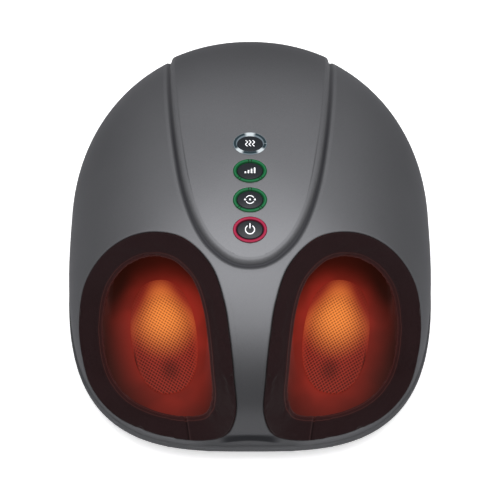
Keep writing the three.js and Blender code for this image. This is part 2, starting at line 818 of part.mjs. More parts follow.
// Instep airbag: a pad that follows the arch of the foot pocket, with a nipple for its hose.
function airbag() {
  const low = airbagStartShare * toeReach;
  const high = airbagEndShare * toeReach;
  const room = solid(
    block(-airbagHalfWidth, airbagHalfWidth, low, high, instepHeight / 3, toeReach)
      .applyMatrix4(soleFrame),
  );
  const pad = footPocket(linerWall + gap + airbagThickness)
    .subtract(footPocket(linerWall + gap))
    .intersect(room);
  const nipple = bar(nippleRadius, 0, 0, -linerWall, nippleLength, boreSteps)
    .rotateY(Math.PI / 2)
    .applyMatrix4(new THREE.Matrix4().setPosition(airbagPort))
    .applyMatrix4(soleFrame);
  return pad.add(solid(nipple));
}

// Air hose from the valve block's port to the airbag's nipple.
function airHose() {
  const start = new THREE.Vector3(-valveWidth / 2 - nippleLength - gap, valveBack, valvePortHeight);
  const end = airbagPort.clone().setX(airbagPort.x + nippleLength + gap).applyMatrix4(soleFrame);
  const leaving = new THREE.Vector3(-hoseBend, 0, 0);
  const arriving = new THREE.Vector3(1, 0, 0).transformDirection(soleFrame).multiplyScalar(hoseBend);
  const turnedUp = start.clone().add(leaving);
  const turnedIn = end.clone().add(arriving);
  const risen = turnedUp.clone().lerp(turnedIn, 1 / 2).setX(turnedUp.x);
  const route = new THREE.CatmullRomCurve3([start, turnedUp, risen, turnedIn, end]);
  const section = new THREE.Shape(
    ovalRing(hoseRadius, hoseRadius, 2, boreSteps).map(([x, y]) => new THREE.Vector2(x, y)),
  );
  return solid(
    new THREE.ExtrudeGeometry(section, { steps: hoseSteps, extrudePath: route }),
  );
}

function panelOutline(grow) {
  const side = panelShares.map(([across, along]) => [
    across * (panelHalfWidth + grow), -panelTip - grow + along * panelLength,
  ]);
  const right = [...side, [panelHalfWidth + grow, backEdge + overrun]];
  const left = right.slice(1).reverse().map(([x, y]) => [-x, y]);
  return [...right, ...left];
}

// Room of the panel above the height where it ends at the back.
function panelRoom(grow) {
  return solid(prism(panelOutline(grow), beltHeight + panelEnd - grow, beltHeight + 2 * domeRise));
}

// Frames of the buttons, on the panel's face, and of the board under them.
function buttonFrame(index) {
  const y = -buttonFirst + index * buttonPitch;
  const step = buttonPitch / 2;
  const climb = domeHeightAt(0, y + step, panelRise) - domeHeightAt(0, y - step, panelRise);
  return new THREE.Matrix4()
    .makeRotationX(Math.atan(climb / buttonPitch))
    .setPosition(0, y, domeHeightAt(0, y, panelRise));
}

const lastButton = buttonNames.length - 1;
const buttonRow = lastButton * buttonPitch;

function boardFrame() {
  const first = new THREE.Vector3().setFromMatrixPosition(buttonFrame(0));
  const last = new THREE.Vector3().setFromMatrixPosition(buttonFrame(lastButton));
  return new THREE.Matrix4()
    .makeRotationX(Math.atan2(last.z - first.z, last.y - first.y))
    .setPosition(first.lerp(last, 1 / 2));
}

function ovalPrism(width, length, low, high) {
  return prism(ovalRing(width / 2, length / 2, 2, buttonSteps), low, high);
}

// What lies under a level of the button board's frame.
function underBoard(level) {
  const reach = 2 * buttonRow;
  return solid(block(-reach, reach, -reach, reach, -reach, level).applyMatrix4(boardFrame()));
}

function ringHole(index) {
  const low = -panelRise - domeWall - overrun;
  const cutter = ovalPrism(ringWidth + 2 * gap, ringLength + 2 * gap, low, overrun);
  return solid(cutter.applyMatrix4(buttonFrame(index)));
}

// Light ring: an oval sleeve from the panel's face down to the button board.
function lightRing(index) {
  const outer = ovalPrism(ringWidth, ringLength, -2 * buttonBoardDrop, ringStand);
  const inner = ovalPrism(
    ringWidth - 2 * ringBand, ringLength - 2 * ringBand, -3 * buttonBoardDrop, overrun,
  );
  return solid(outer.applyMatrix4(buttonFrame(index)))
    .subtract(solid(inner.applyMatrix4(buttonFrame(index))))
    .subtract(underBoard(gap - buttonBoardDrop));
}

// Button: a crowned oval cap on a stem that ends its travel above the switch.
function button(index) {
  const layer = (share, height) =>
    ovalRing(
      share * (ringWidth / 2 - ringBand - gap), share * (ringLength / 2 - ringBand - gap), 2,
      buttonSteps,
    ).map(([x, y]) => new THREE.Vector3(x, y, height));
  const cap = skin([
    layer(1, -buttonThickness),
    ...crownShares.map(([across, height]) => layer(across, height * buttonCrown)),
  ]);
  const stem = bar(stemRadius, 0, 0, -2 * buttonBoardDrop, -buttonThickness / 2, threadSteps);
  const clear = underBoard(switchHeight + buttonTravel + gap - buttonBoardDrop);
  return solid(cap.applyMatrix4(buttonFrame(index)))
    .add(solid(stem.applyMatrix4(buttonFrame(index))).subtract(clear));
}

// Button board with one switch under each stem.
function buttonBoard() {
  const half = buttonRow / 2 + buttonBoardMargin;
  const sheet = block(
    -buttonBoardWidth / 2, buttonBoardWidth / 2, -half, half,
    -buttonBoardDrop - boardThickness, -buttonBoardDrop,
  );
  const toBoard = boardFrame().invert();
  const switches = buttonNames.map((_, i) => {
    const spot = new THREE.Vector3().setFromMatrixPosition(buttonFrame(i)).applyMatrix4(toBoard);
    const size = switchSize / 2;
    return solid(block(
      -size, size, spot.y - size, spot.y + size,
      -buttonBoardDrop - boardThickness / 2, -buttonBoardDrop + switchHeight,
    ).applyMatrix4(boardFrame()));
  });
  return joined([solid(sheet.applyMatrix4(boardFrame())), ...switches]);
}

function boardPosts() {
  const across = buttonBoardWidth / 2 - boardPostRadius;
  const along = buttonRow / 2 + buttonBoardMargin - boardPostRadius;
  const posts = [-across, across].flatMap((x) =>
    [-along, along].map((y) =>
      solid(
        bar(boardPostRadius, x, y, gap - buttonBoardDrop, 0, boreSteps).applyMatrix4(boardFrame()),
      ),
    ),
  );
  return joined(posts);
}

const screwSpots = {
  left: [sideScrewMargin - domeHalfWidth, sideScrewBack],
  right: [domeHalfWidth - sideScrewMargin, sideScrewBack],
  rear_left: [-rearScrewSpread, backEdge - rearScrewInset],
  rear_right: [rearScrewSpread, backEdge - rearScrewInset],
  front: [0, frontScrewInset - frontEdge],
};

// Upper housing: the dome's shell with its foot openings, the panel's recess, the ring holes, and
// the posts that take the screws and the button board.
function upperHousing() {
  const reach = 2 * frontEdge;
  const below = solid(block(-reach, reach, -reach, reach, -overrun, beltHeight + gap));
  const recess = panelRoom(grooveWidth / 2)
    .subtract(domeBlank(-panelSink - gap, 0, innerRings, innerSteps));
  const underSkin = domeBlank(
    -panelSink - gap - (domeWall - panelSink - gap) / 3, 0, innerRings, innerSteps,
  );
  const screwPosts = Object.values(screwSpots).map(([x, y]) =>
    solid(bar(domePostRadius, x, y, 0, beltHeight + domeRise, boreSteps)),
  );
  const screwBores = Object.values(screwSpots).map(([x, y]) =>
    solid(bar(screwRadius + gap, x, y, 0, screwSeat + screwLength + gap, boreSteps)),
  );
  const posts = joined([...screwPosts, boardPosts()]).intersect(underSkin);
  const cutter = openingCutter();
  return domeBlank(0, 0)
    .subtract(domeBlank(-domeWall, -overrun, innerRings, innerSteps))
    .add(posts)
    .subtract(recess)
    .subtract(below)
    .subtract(joined([solid(cutter), solid(mirrored(cutter))]))
    .subtract(joined([...screwBores, ...buttonNames.map((_, i) => ringHole(i))]));
}

function controlPanel() {
  return domeBlank(panelRise, 0)
    .subtract(domeBlank(-panelSink, -overrun, innerRings, innerSteps))
    .intersect(panelRoom(-grooveWidth / 2))
    .subtract(joined(buttonNames.map((_, i) => ringHole(i))));
}

// A ring of the tray's plan: the share of the tuck goes from 0 at the belt to 1 at the underside.
function trayRing(tuckShare, inset, height) {
  const half = domeHalfWidth + beltLip - traySideTuck * tuckShare - inset;
  return Array.from({ length: domeSteps }, (_, j) => {
    const angle = ((j + 1 / 2) / domeSteps) * 2 * Math.PI;
    const back = Math.sin(angle) > 0;
    const power = 2 / (back ? trayBackPower : planFrontPower);
    const front = frontEdge + domeCrest - trayFrontTuck * tuckShare - inset;
    const rear = backEdge - domeCrest - traySideTuck * tuckShare - inset;
    return new THREE.Vector3(
      half * signedPower(Math.cos(angle), power),
      domeCrest + (back ? rear : front) * signedPower(Math.sin(angle), power),
      height,
    );
  });
}

function domeWallRing(inset, height) {
  return domeRing(-inset, Math.PI / 2, innerSteps).map((point) => point.setZ(height));
}

// Lower housing: the tray, its ledge and locating lip, screw bosses, floor pads, vents and holes.
function lowerHousing() {
  const bandLow = beltHeight - beltBand;
  const blank = skin([trayRing(1, 0, footHeight), trayRing(0, 0, bandLow), trayRing(0, 0, beltHeight)]);
  const hollow = skin([
    trayRing(1, trayWall, floorTop), trayRing(0, trayWall, bandLow),
    trayRing(0, trayWall, beltHeight + overrun),
  ]);
  const lipOut = domeWall + gap;
  const lipIn = lipOut + lipThickness;
  const within = solid(skin([domeWallRing(lipIn, 0), domeWallRing(lipIn, 2 * beltHeight)]));
  const ledge = solid(skin([
    trayRing(0, trayWall / 2, beltHeight - trayWall), trayRing(0, trayWall / 2, beltHeight),
  ])).subtract(within);
  const lip = solid(skin([
    domeWallRing(lipOut, beltHeight - trayWall / 2), domeWallRing(lipOut, beltHeight + lipHeight),
  ]))
    .subtract(within)
    .intersect(solid(block(-domeHalfWidth, domeHalfWidth, lipStart, backEdge, 0, 2 * beltHeight)));
  const spots = Object.values(screwSpots);
  const bosses = spots.map(([x, y]) =>
    solid(bar(trayBossRadius, x, y, footHeight, beltHeight, threadSteps)),
  );
  const access = spots.map(([x, y]) =>
    solid(bar(screwHeadRadius + gap, x, y, 0, screwSeat, threadSteps)),
  );
  const shanks = spots.map(([x, y]) =>
    solid(bar(screwRadius + gap, x, y, 0, beltHeight + overrun, boreSteps)),
  );
  const plugs = padSpots.map(([x, y]) =>
    solid(bar(padPlugRadius + gap, x, y, 0, floorTop + overrun, roundSteps)),
  );
  const tray = solid(blank).subtract(solid(hollow));
  return joined([tray, ledge, lip, ...bosses, ...floorSeats()])
    .subtract(joined([...access, ...shanks, ...plugs, ...vents(), inletRoom(gap)]));
}

const padSpots = [
  [padInset + traySideTuck - domeHalfWidth, padInset + trayFrontTuck - frontEdge],
  [domeHalfWidth - padInset - traySideTuck, padInset + trayFrontTuck - frontEdge],
  [padInset + traySideTuck - domeHalfWidth, backEdge - padRearInset - traySideTuck],
  [domeHalfWidth - padInset - traySideTuck, backEdge - padRearInset - traySideTuck],
];

// Pads and posts on the tray's floor under the pump, the valve block and the main board.
function floorSeats() {
  const top = floorTop + seatHeight;
  const low = floorTop - trayWall / 2;
  const seat = (width, length, back) => solid(block(
    -width / 3, width / 3, back - length / 3, back + length / 3, low, top,
  ));
  const across = mainBoardWidth / 2 - boardPostRadius;
  const along = mainBoardLength / 2 - boardPostRadius;
  const posts = [-across, across].flatMap((x) =>
    [-along - mainBoardForward, along - mainBoardForward].map((y) =>
      solid(bar(boardPostRadius, x, y, low, top, boreSteps)),
    ),
  );
  return [
    seat(pumpFootWidth, pumpLength, pumpBack), seat(valveWidth, valveDepth, valveBack), ...posts,
  ];
}

function vents() {
  return [-1, 1].flatMap((side) =>
    Array.from({ length: ventCount }, (_, i) => {
      const x = side * (footPitch / 2) + (i - (ventCount - 1) / 2) * ventPitch;
      const slot = block(
        -ventWidth / 2, ventWidth / 2, -ventLength / 2, ventLength / 2, 0, floorTop + gap,
      );
      return solid(slot.translate(x, -ventForward, 0));
    }),
  );
}

// The tray's back wall leans, so the inlet's face stands where the wall is at half its height.
const inletMiddle = (footHeight + beltHeight - beltBand) / 2;
const inletFace = backEdge - traySideTuck / 2;

function inletRoom(grow) {
  return solid(block(
    -inletWidth / 2 - grow, inletWidth / 2 + grow, inletFace - inletDepth - overrun, backEdge + overrun,
    inletMiddle - inletHeight / 2 - grow, inletMiddle + inletHeight / 2 + grow,
  ));
}

// Power inlet: a block with a figure-eight socket that faces back, and its two pins.
function powerInlet() {
  const body = block(
    -inletWidth / 2, inletWidth / 2, inletFace - inletDepth, inletFace,
    inletMiddle - inletHeight / 2, inletMiddle + inletHeight / 2,
  );
  const along = (radius, x, low, high) => {
    const round = new THREE.CylinderGeometry(radius, radius, high - low, threadSteps);
    return solid(round.translate(x, (low + high) / 2, inletMiddle));
  };
  const lobes = [-1, 1].map((side) =>
    along(socketRadius, (side * socketPitch) / 2, inletFace - socketDepth, inletFace + overrun),
  );
  const waist = solid(block(
    -socketPitch / 2, socketPitch / 2, inletFace - socketDepth, inletFace + overrun,
    inletMiddle - socketRadius * socketWaistShare, inletMiddle + socketRadius * socketWaistShare,
  ));
  const pinRoot = inletFace - socketDepth - gap;
  const pins = [-1, 1].map((side) =>
    along(pinRadius, (side * socketPitch) / 2, pinRoot, pinRoot + pinLength),
  );
  return solid(body).subtract(joined([...lobes, waist])).add(joined(pins));
}

// Rubber foot with a plug up into the tray's floor.
function rubberFoot(x, y) {
  return solid(
    turned([
      [0, 0], [padRadius - padChamfer, 0], [padRadius, padChamfer], [padRadius, footHeight - gap],
      [padPlugRadius, footHeight - gap], [padPlugRadius, floorTop - gap], [0, floorTop - gap],
    ]).translate(x, y, 0),
  );
}

function housingScrew(x, y) {
  const low = screwSeat - screwHeadHeight - gap;
  return solid(
    turned([
      [0, low], [screwHeadRadius, low], [screwHeadRadius, low + screwHeadHeight],
      [screwRadius, low + screwHeadHeight], [screwRadius, low + screwHeadHeight + screwLength],
      [0, low + screwHeadHeight + screwLength],
    ], boreSteps).translate(x, y, 0),
  );
}

// Air pump lying along the machine, its nozzle against the valve block.
function airPump() {
  const base = floorTop + seatHeight + gap;
  const axis = base + pumpFootHeight + pumpRadius - pumpFootHeight / 2;
  const front = pumpBack - pumpLength / 2;
  const along = (radius, low, high) => {
    const round = new THREE.CylinderGeometry(radius, radius, high - low, roundSteps);
    return solid(round.translate(0, (low + high) / 2, axis));
  };
  const foot = block(
    -pumpFootWidth / 2, pumpFootWidth / 2, front, front + pumpLength, base, axis - pumpRadius / 2,
  );
  const nozzle = along(nippleRadius, valveBack + valveDepth / 2 + gap, front + overrun);
  return joined([solid(foot), along(pumpRadius, front, front + pumpLength), nozzle]);
}

const valveBase = floorTop + seatHeight + gap;

function valveBlock() {
  const body = block(
    -valveWidth / 2, valveWidth / 2, valveBack - valveDepth / 2, valveBack + valveDepth / 2,
    valveBase, valveBase + valveHeight,
  );
  const span = valveWidth + 2 * nippleLength;
  const ports = new THREE.CylinderGeometry(nippleRadius, nippleRadius, span, threadSteps)
    .rotateZ(Math.PI / 2)
    .translate(0, valveBack, valvePortHeight);
  return solid(body).add(solid(ports));
}

function mainBoard() {
  const low = valveBase;
  const top = low + boardThickness;
  const sheet = block(
    -mainBoardWidth / 2, mainBoardWidth / 2,
    -mainBoardForward - mainBoardLength / 2, -mainBoardForward + mainBoardLength / 2, low, top,
  );
  const chip = (x, y, size, height) => solid(
    block(-size / 2, size / 2, -size / 2, size / 2, top - boardThickness / 2, top + height)
      .translate(x, y, 0),
  );
  const quarter = mainBoardLength / 4;
  return joined([
    solid(sheet),
    chip(0, -mainBoardForward, chipSize, chipHeight),
    chip(-mainBoardWidth / 4, quarter - mainBoardForward, relaySize, relayHeight),
    chip(mainBoardWidth / 4, quarter - mainBoardForward, relaySize, relayHeight),
    chip(mainBoardWidth / 4, -quarter - mainBoardForward, chipSize, chipHeight),
  ]);
}

// The kneading head at one place along the foot, as a group about its own axis.
function kneadingHead(side, place, along) {
  const head = new THREE.Group();
  head.add(
    piece(`${side}_${place}_kneading_disc`, kneadingDisc(), finish.nylon),
    piece(`${side}_${place}_kneading_cap`, kneadingCap(), finish.rubber),
    piece(`${side}_${place}_worm_wheel`, wormWheel(along), finish.nylon),
  );
  head.position.y = along;
  return head;
}

// Everything that belongs to one foot, built for the left.
function footUnit(side) {
  const unit = new THREE.Group();
  unit.add(
    piece(`${side}_collar`, collar(), finish.collar),
    piece(`${side}_liner`, liner(), finish.liner),
    piece(`${side}_instep_airbag`, airbag(), finish.bladder),
    piece(`${side}_air_hose`, airHose(), finish.rubber),
  );
  const sole = new THREE.Group();
  soleFrame.decompose(sole.position, sole.quaternion, sole.scale);
  const worm = piece(`${side}_worm_shaft`, wormShaft(), finish.steel);
  worm.position.set(wormAcross, 0, driveLevel);
  sole.add(
    piece(`${side}_sole_net`, soleNet(), finish.net),
    piece(`${side}_sole_plate`, solePlate(), finish.plastic),
    piece(`${side}_gearbox`, gearbox(), finish.plastic),
    piece(`${side}_gearbox_cover`, gearboxCover(), finish.plastic),
    piece(`${side}_motor`, motor(), finish.steel),
    worm,
    kneadingHead(side, "heel", -headOffset),
    kneadingHead(side, "toe", headOffset),
    piece(`${side}_lamp_board`, lampBoard(), finish.board),
  );
  unit.add(sole);
  return unit;
}

const ringLooks = [finish.redRing, finish.greenRing, finish.greenRing, finish.whiteRing];
const massager = new THREE.Group();
massager.add(
  piece("upper_housing", upperHousing(), finish.shell),
  piece("lower_housing", lowerHousing(), finish.tray),
  piece("control_panel", controlPanel(), finish.panel),
  piece("button_board", buttonBoard(), finish.board),
  piece("main_board", mainBoard(), finish.board),
  piece("air_pump", airPump(), finish.plastic),
  piece("valve_block", valveBlock(), finish.plastic),
  piece("power_inlet", powerInlet(), finish.plastic),
);
buttonNames.forEach((name, i) => {
  massager.add(
    piece(`${name}_light_ring`, lightRing(i), ringLooks[i]),
    piece(`${name}_button`, button(i), finish.buttonFace),
  );
});
["front_left", "front_right", "rear_left", "rear_right"].forEach((place, i) => {
  massager.add(piece(`${place}_foot`, rubberFoot(...padSpots[i]), finish.rubber));
});
for (const [place, spot] of Object.entries(screwSpots)) {
  massager.add(piece(`${place}_housing_screw`, housingScrew(...spot), finish.steel));
}
const rightFoot = footUnit("right");
rightFoot.scale.x = -1;
massager.add(footUnit("left"), rightFoot);

export default massager;
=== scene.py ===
import json
import math

import bmesh
import bpy
import numpy as np
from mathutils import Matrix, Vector


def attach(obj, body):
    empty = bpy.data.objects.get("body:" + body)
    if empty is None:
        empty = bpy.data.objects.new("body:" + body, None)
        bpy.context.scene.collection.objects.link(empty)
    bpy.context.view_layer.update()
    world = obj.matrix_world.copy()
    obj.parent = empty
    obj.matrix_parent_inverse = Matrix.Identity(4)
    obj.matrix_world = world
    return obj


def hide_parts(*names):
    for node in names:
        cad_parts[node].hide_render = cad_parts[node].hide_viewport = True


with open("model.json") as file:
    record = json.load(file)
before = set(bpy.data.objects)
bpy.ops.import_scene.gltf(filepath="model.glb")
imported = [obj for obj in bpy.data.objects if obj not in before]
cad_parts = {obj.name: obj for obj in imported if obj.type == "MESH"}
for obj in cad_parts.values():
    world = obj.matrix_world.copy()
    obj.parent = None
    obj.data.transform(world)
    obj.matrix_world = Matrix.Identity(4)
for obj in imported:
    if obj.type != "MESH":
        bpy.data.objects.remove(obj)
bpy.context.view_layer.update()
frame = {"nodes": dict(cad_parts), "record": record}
metre = 0.001


# Small helpers for numbers and meshes

# A smooth step from 0 at low to 1 at high: three times the share squared, less twice its cube.
def smooth(value, low, high):
    share = np.clip((value - low) / (high - low), 0, 1)
    return share * share * (3 - 2 * share)


# A bell of height 1 round the middle: e to the minus square of the distance over the width.
def bump(value, middle, width):
    return np.exp(-(((value - middle) / width) ** 2))


# Vectors divided by their own lengths.
def unit(vectors):
    return vectors / np.linalg.norm(vectors, axis=-1, keepdims=True)


# Even angles once round.
def onceRound(steps):
    return np.arange(steps) / steps * 2 * math.pi


# Two coordinates turned by an angle, from the first towards the second.
def turned(a, b, angle):
    c, s = math.cos(angle), math.sin(angle)
    return a * c - b * s, a * s + b * c


# A rounded square of half width 1: the cosine and sine, each to the power of 2 over its roundness.
def roundedSquare(angle, power):
    c, s = np.cos(angle), np.sin(angle)
    return np.sign(c) * np.abs(c) ** (2 / power), np.sign(s) * np.abs(s) ** (2 / power)


# Centripetal spline through given points, closed or open, at evenly shared places. The knots lie the
# square root of each distance apart, and every span blends lines through its four neighbours.
def spline(points, count, closed):
    points = np.array(points, float)
    if closed:
        padded = np.vstack([points[-1:], points, points[:2]])
    else:
        padded = np.vstack([2 * points[0] - points[1], points, 2 * points[-1] - points[-2]])
    spans = len(padded) - 3
    shares = np.arange(count) / count if closed else np.linspace(0, 1, count)
    places = np.clip(shares * spans, 0, spans - 1e-9)
    first = places.astype(int)
    knots = np.concatenate([[0], np.cumsum(np.linalg.norm(np.diff(padded, axis=0), axis=1) ** 0.5)])
    a, b, c, d = (padded[first + k] for k in range(4))
    ta, tb, tc, td = (knots[first + k][:, None] for k in range(4))
    t = tb + (places - first)[:, None] * (tc - tb)
    ab = a + (b - a) * (t - ta) / (tb - ta)
    bc = b + (c - b) * (t - tb) / (tc - tb)
    cd = c + (d - c) * (t - tc) / (td - tc)
    abc = ab + (bc - ab) * (t - ta) / (tc - ta)
    bcd = bc + (cd - bc) * (t - tb) / (td - tb)
    return abc + (bcd - abc) * (t - tb) / (tc - tb)


# Four-cornered faces of a grid of points. A closed direction joins its last line to its first.
def gridFaces(rows, columns, closedRows=False, closedColumns=False):
    i = np.arange(rows if closedRows else rows - 1)
    j = np.arange(columns if closedColumns else columns - 1)
    a, b = np.meshgrid(i, j, indexing="ij")
    a2, b2 = (a + 1) % rows, (b + 1) % columns
    return np.stack([a * columns + b, a * columns + b2, a2 * columns + b2, a2 * columns + b], -1).reshape(-1, 4)


# A grid's UV map from its places down the rows and along the columns.
def gridPlaces(down, along):
    return np.stack(np.meshgrid(down, along, indexing="ij"), -1).reshape(-1, 2)


# A smooth mesh object from points in millimetres and faces, without the points that no face uses. Its
# look is a row of the looks table, named as the record's slots are.
def makePiece(name, points, faces, look, body="housing", replaces=(), uv=None, flip=False):
    points = np.asarray(points, np.float32).reshape(-1, 3) * metre
    faces = np.asarray(faces, np.int32)
    if flip:
        faces = faces[:, ::-1]
    used, order = np.unique(faces, return_inverse=True)
    points, faces = points[used], order.reshape(faces.shape).astype(np.int32)
    mesh = bpy.data.meshes.new(name)
    mesh.vertices.add(len(points))
    mesh.vertices.foreach_set("co", points.ravel())
    mesh.loops.add(faces.size)
    mesh.loops.foreach_set("vertex_index", np.ascontiguousarray(faces).ravel())
    mesh.polygons.add(len(faces))
    mesh.polygons.foreach_set("loop_start", np.arange(len(faces)) * faces.shape[1])
    mesh.update(calc_edges=True)
    mesh.validate()
    if uv is not None:
        layer = mesh.uv_layers.new(name="place")
        layer.data.foreach_set("uv", np.asarray(uv, np.float32)[used][faces.ravel()].ravel())
    mesh.shade_smooth()
    piece = bpy.data.objects.new(name, mesh)
    bpy.context.scene.collection.objects.link(piece)
    mesh.materials.append(looks[look])
    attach(piece, body)
    if replaces:
        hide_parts(*replaces)
    return piece


# A wall inwards from a piece's surface.
def thicken(piece, thickness):
    solidify = piece.modifiers.new("thickness", "SOLIDIFY")
    solidify.thickness = thickness * metre
    solidify.offset = -1


# Materials

# A colour for a node: three numbers are given an alpha of 1, and a socket stays as it is.
def opaque(colour):
    return colour if isinstance(colour, Socket) else [*colour, 1.0]


# A colour made lighter or darker by a share of itself.
def tint(colour, share):
    return [min(1.0, c * share) for c in colour]


# One output of a material's nodes. Arithmetic on it adds Math nodes.
class Socket:
    def __init__(self, tree, output):
        self.tree = tree
        self.output = output

    # Any other node: its type, its settings, and its inputs by name or number.
    def node(self, kind, settings=None, inputs=None, output=0):
        made = self.tree.nodes.new(kind)
        for key, value in (settings or {}).items():
            setattr(made, key, value)
        for key, value in (inputs or {}).items():
            if isinstance(value, Socket):
                self.tree.links.new(value.output, made.inputs[key])
            else:
                made.inputs[key].default_value = value
        return Socket(self.tree, made.outputs[output])

    def math(self, operation, *others):
        values = dict(enumerate((self, *others)))
        return self.node("ShaderNodeMath", {"operation": operation}, values)

    def reversedMath(self, operation, first):
        return self.node("ShaderNodeMath", {"operation": operation}, {0: first, 1: self})

    def __add__(self, other):
        return self.math("ADD", other)

    def __sub__(self, other):
        return self.math("SUBTRACT", other)

    def __rsub__(self, other):
        return self.reversedMath("SUBTRACT", other)

    def __mul__(self, other):
        return self.math("MULTIPLY", other)

    def __truediv__(self, other):
        return self.math("DIVIDE", other)

    def __rtruediv__(self, other):
        return self.reversedMath("DIVIDE", other)

    def __pow__(self, other):
        return self.math("POWER", other)

    def __neg__(self):
        return self.math("MULTIPLY", -1.0)

    __radd__ = __add__
    __rmul__ = __mul__

    # The larger of this and another value.
    def larger(self, other):
        return self.math("MAXIMUM", other)

    # This value without its sign.
    def size(self):
        return self.math("ABSOLUTE")

    # A smooth step from 0 at low to 1 at high.
    def step(self, low, high):
        inputs = {"Value": self, "From Min": low, "From Max": high}
        return self.node("ShaderNodeMapRange", {"interpolation_type": "SMOOTHSTEP"}, inputs)

    # A smooth step down from 1 at low to 0 at high.
    def fall(self, low, high):
        return 1.0 - self.step(low, high)

    # A hump of height 1 at the middle, down to 0 at the width.
    def hump(self, middle, width):
        return (self - middle).size().fall(0.0, width)

    # The first colour where this is 0, and the second where it is 1.
    def blend(self, low, high):
        inputs = {"Factor": self, 6: opaque(low), 7: opaque(high)}
        return self.node("ShaderNodeMix", {"data_type": "RGBA"}, inputs, output=2)

    # This colour with only a share of its strength left.
    def dimmed(self, share):
        inputs = {"Factor": share, 6: opaque((0.0, 0.0, 0.0)), 7: self}
        return self.node("ShaderNodeMix", {"data_type": "RGBA"}, inputs, output=2)

    def noise(self, scale, detail=2.0, roughness=0.5):
        inputs = {"Vector": self, "Scale": scale, "Detail": detail, "Roughness": roughness}
        return self.node("ShaderNodeTexNoise", None, inputs)

    # The three coordinates of a place, in millimetres unless another scale is given.
    def parts(self, scale=1000.0):
        made = self.tree.nodes.new("ShaderNodeSeparateXYZ")
        self.tree.links.new(self.output, made.inputs[0])
        return [Socket(self.tree, output) * scale for output in made.outputs]


# A material with its Principled shader. Constants are set on the shader's own sockets.
class Surface:
    def __init__(self, name, **constants):
        self.material = bpy.data.materials.new(name)
        self.material.use_nodes = True
        self.tree = self.material.node_tree
        self.shader = self.tree.nodes["Principled BSDF"]
        for key, value in constants.items():
            self.shader.inputs[key.replace("_", " ")].default_value = value

    def place(self, output="Object"):
        return Socket(self.tree, self.tree.nodes.new("ShaderNodeTexCoord").outputs[output])

    def set(self, name, value):
        self.tree.links.new(value.output, self.shader.inputs[name])

    def glow(self, colour, strength=1.0):
        self.set("Emission Color", colour)
        self.shader.inputs["Emission Strength"].default_value = strength

    def relief(self, height, distance, strength):
        inputs = {"Height": height, "Distance": distance * metre, "Strength": strength}
        self.set("Normal", height.node("ShaderNodeBump", None, inputs))


# Satin metallic paint: fine flakes in the base colour and roughness, and a barely felt orange peel.
# Its edges don't brighten much at a glance, as flake paint under a matt lacquer doesn't.
flakes = {"size": 2600.0, "clouds": 9.0, "peel": 700.0, "spread": 0.14, "sheen": (0.4, 0.4, 0.41), "shine": 0.3}
# Painted shade: where the paint is darker, and by what share. Each pair holds the two ends of a smooth step.
paintedShade = {
    "bandBow": 0.005, "bandFoot": (53.6, 55.6), "bandTop": (58.5, 66.0), "bandEnds": (19.0, 32.0),
    "bandFront": (100.0, 110.0), "bandShare": 0.85, "bandShadeColour": (0.012, 0.012, 0.014),
    "dip": (144.0, 192.0), "dipFoot": (194.0, 206.0), "dipFootShare": 0.35, "dipEnds": (34.0, 60.0),
    "dipShare": 0.54, "low": (48.0, 64.0), "lowShare": 0.1, "sides": (90.0, 165.0), "sidesShare": 0.2,
    "panelBack": (50.0, 175.0), "panelBackShare": 0.3,
}


def paintSurface(name, metallic):
    return Surface(name, Metallic=metallic, Specular_Tint=opaque(flakes["sheen"]), Specular_IOR_Level=flakes["shine"])


# Paint on one piece. Its shade is a function that paints shade by darkening the tone in places, or none.
def paint(name, base, roughness=0.62, shade=None):
    surface = paintSurface(name, 0.85)
    tone = paintTone(surface, base)
    flakeNodes(surface, shade(surface, tone) if shade else tone, roughness)
    return surface.material


# Painted shade: the panel is darker towards the back.
def panelPaintedShade(surface, tone):
    x, y, z = surface.place().parts()
    return tone.dimmed(1.0 - y.step(*paintedShade["panelBack"]) * paintedShade["panelBackShare"])


# Painted shade on the shell: it is darker in the dip of the bridge, low down, out at the sides, and in a bowed
# band of painted dark colour under the bridge's brow, where its crease is.
def shellPaintedShade(surface, tone):
    x, y, z = surface.place().parts()
    aside, front = x.size(), -y
    arch = z + aside ** 2.0 * paintedShade["bandBow"]
    band = arch.step(*paintedShade["bandFoot"]) * arch.fall(*paintedShade["bandTop"])
    band = band * aside.fall(*paintedShade["bandEnds"]) * front.step(*paintedShade["bandFront"])
    dip = front.step(*paintedShade["dip"]) * (1.0 - front.step(*paintedShade["dipFoot"]) * paintedShade["dipFootShare"])
    dip = dip * aside.fall(*paintedShade["dipEnds"])
    low, sides = z.fall(*paintedShade["low"]), aside.step(*paintedShade["sides"])
    left = (1.0 - dip * paintedShade["dipShare"]) * (1.0 - low * paintedShade["lowShare"])
    tone = tone.dimmed(left * (1.0 - sides * paintedShade["sidesShare"]))
    return (band * paintedShade["bandShare"]).blend(tone, paintedShade["bandShadeColour"])


# The paint's colour: fine flakes and slow clouds, a little darker and lighter than its base.
def paintTone(surface, base):
    place = surface.place()
    speckle = place.noise(flakes["size"], 1.0) * 0.7 + place.noise(flakes["clouds"], 2.0) * 0.3
    return speckle.step(0.3, 0.7).blend(tint(base, 1 - flakes["spread"]), tint(base, 1 + flakes["spread"]))


def flakeNodes(surface, tone, roughness):
    place = surface.place()
    flake = place.noise(flakes["size"], 1.0)
    surface.set("Base Color", tone)
    surface.set("Roughness", flake * 0.1 + (roughness - 0.05))
    surface.relief(place.noise(flakes["peel"], 2.0) + flake * 0.4, 0.02, 0.25)


# The groove: the same paint on both slopes, and between them painted shade, a matt, darker floor that fades to the
# back.
def grooveLook(name, base):
    surface = paintSurface(name, 0.7)
    along, across, z = surface.place("UV").parts(1.0)
    x, y, z = surface.place().parts()
    inside = across.hump(groove["floorAt"], groove["floorHalf"])
    inside = inside * (1.0 - y.step(*groove["fades"]) * groove["fadeShare"])
    flakeNodes(surface, inside.blend(paintTone(surface, base), groove["floorShadeColour"]), 0.62)
    return surface.material


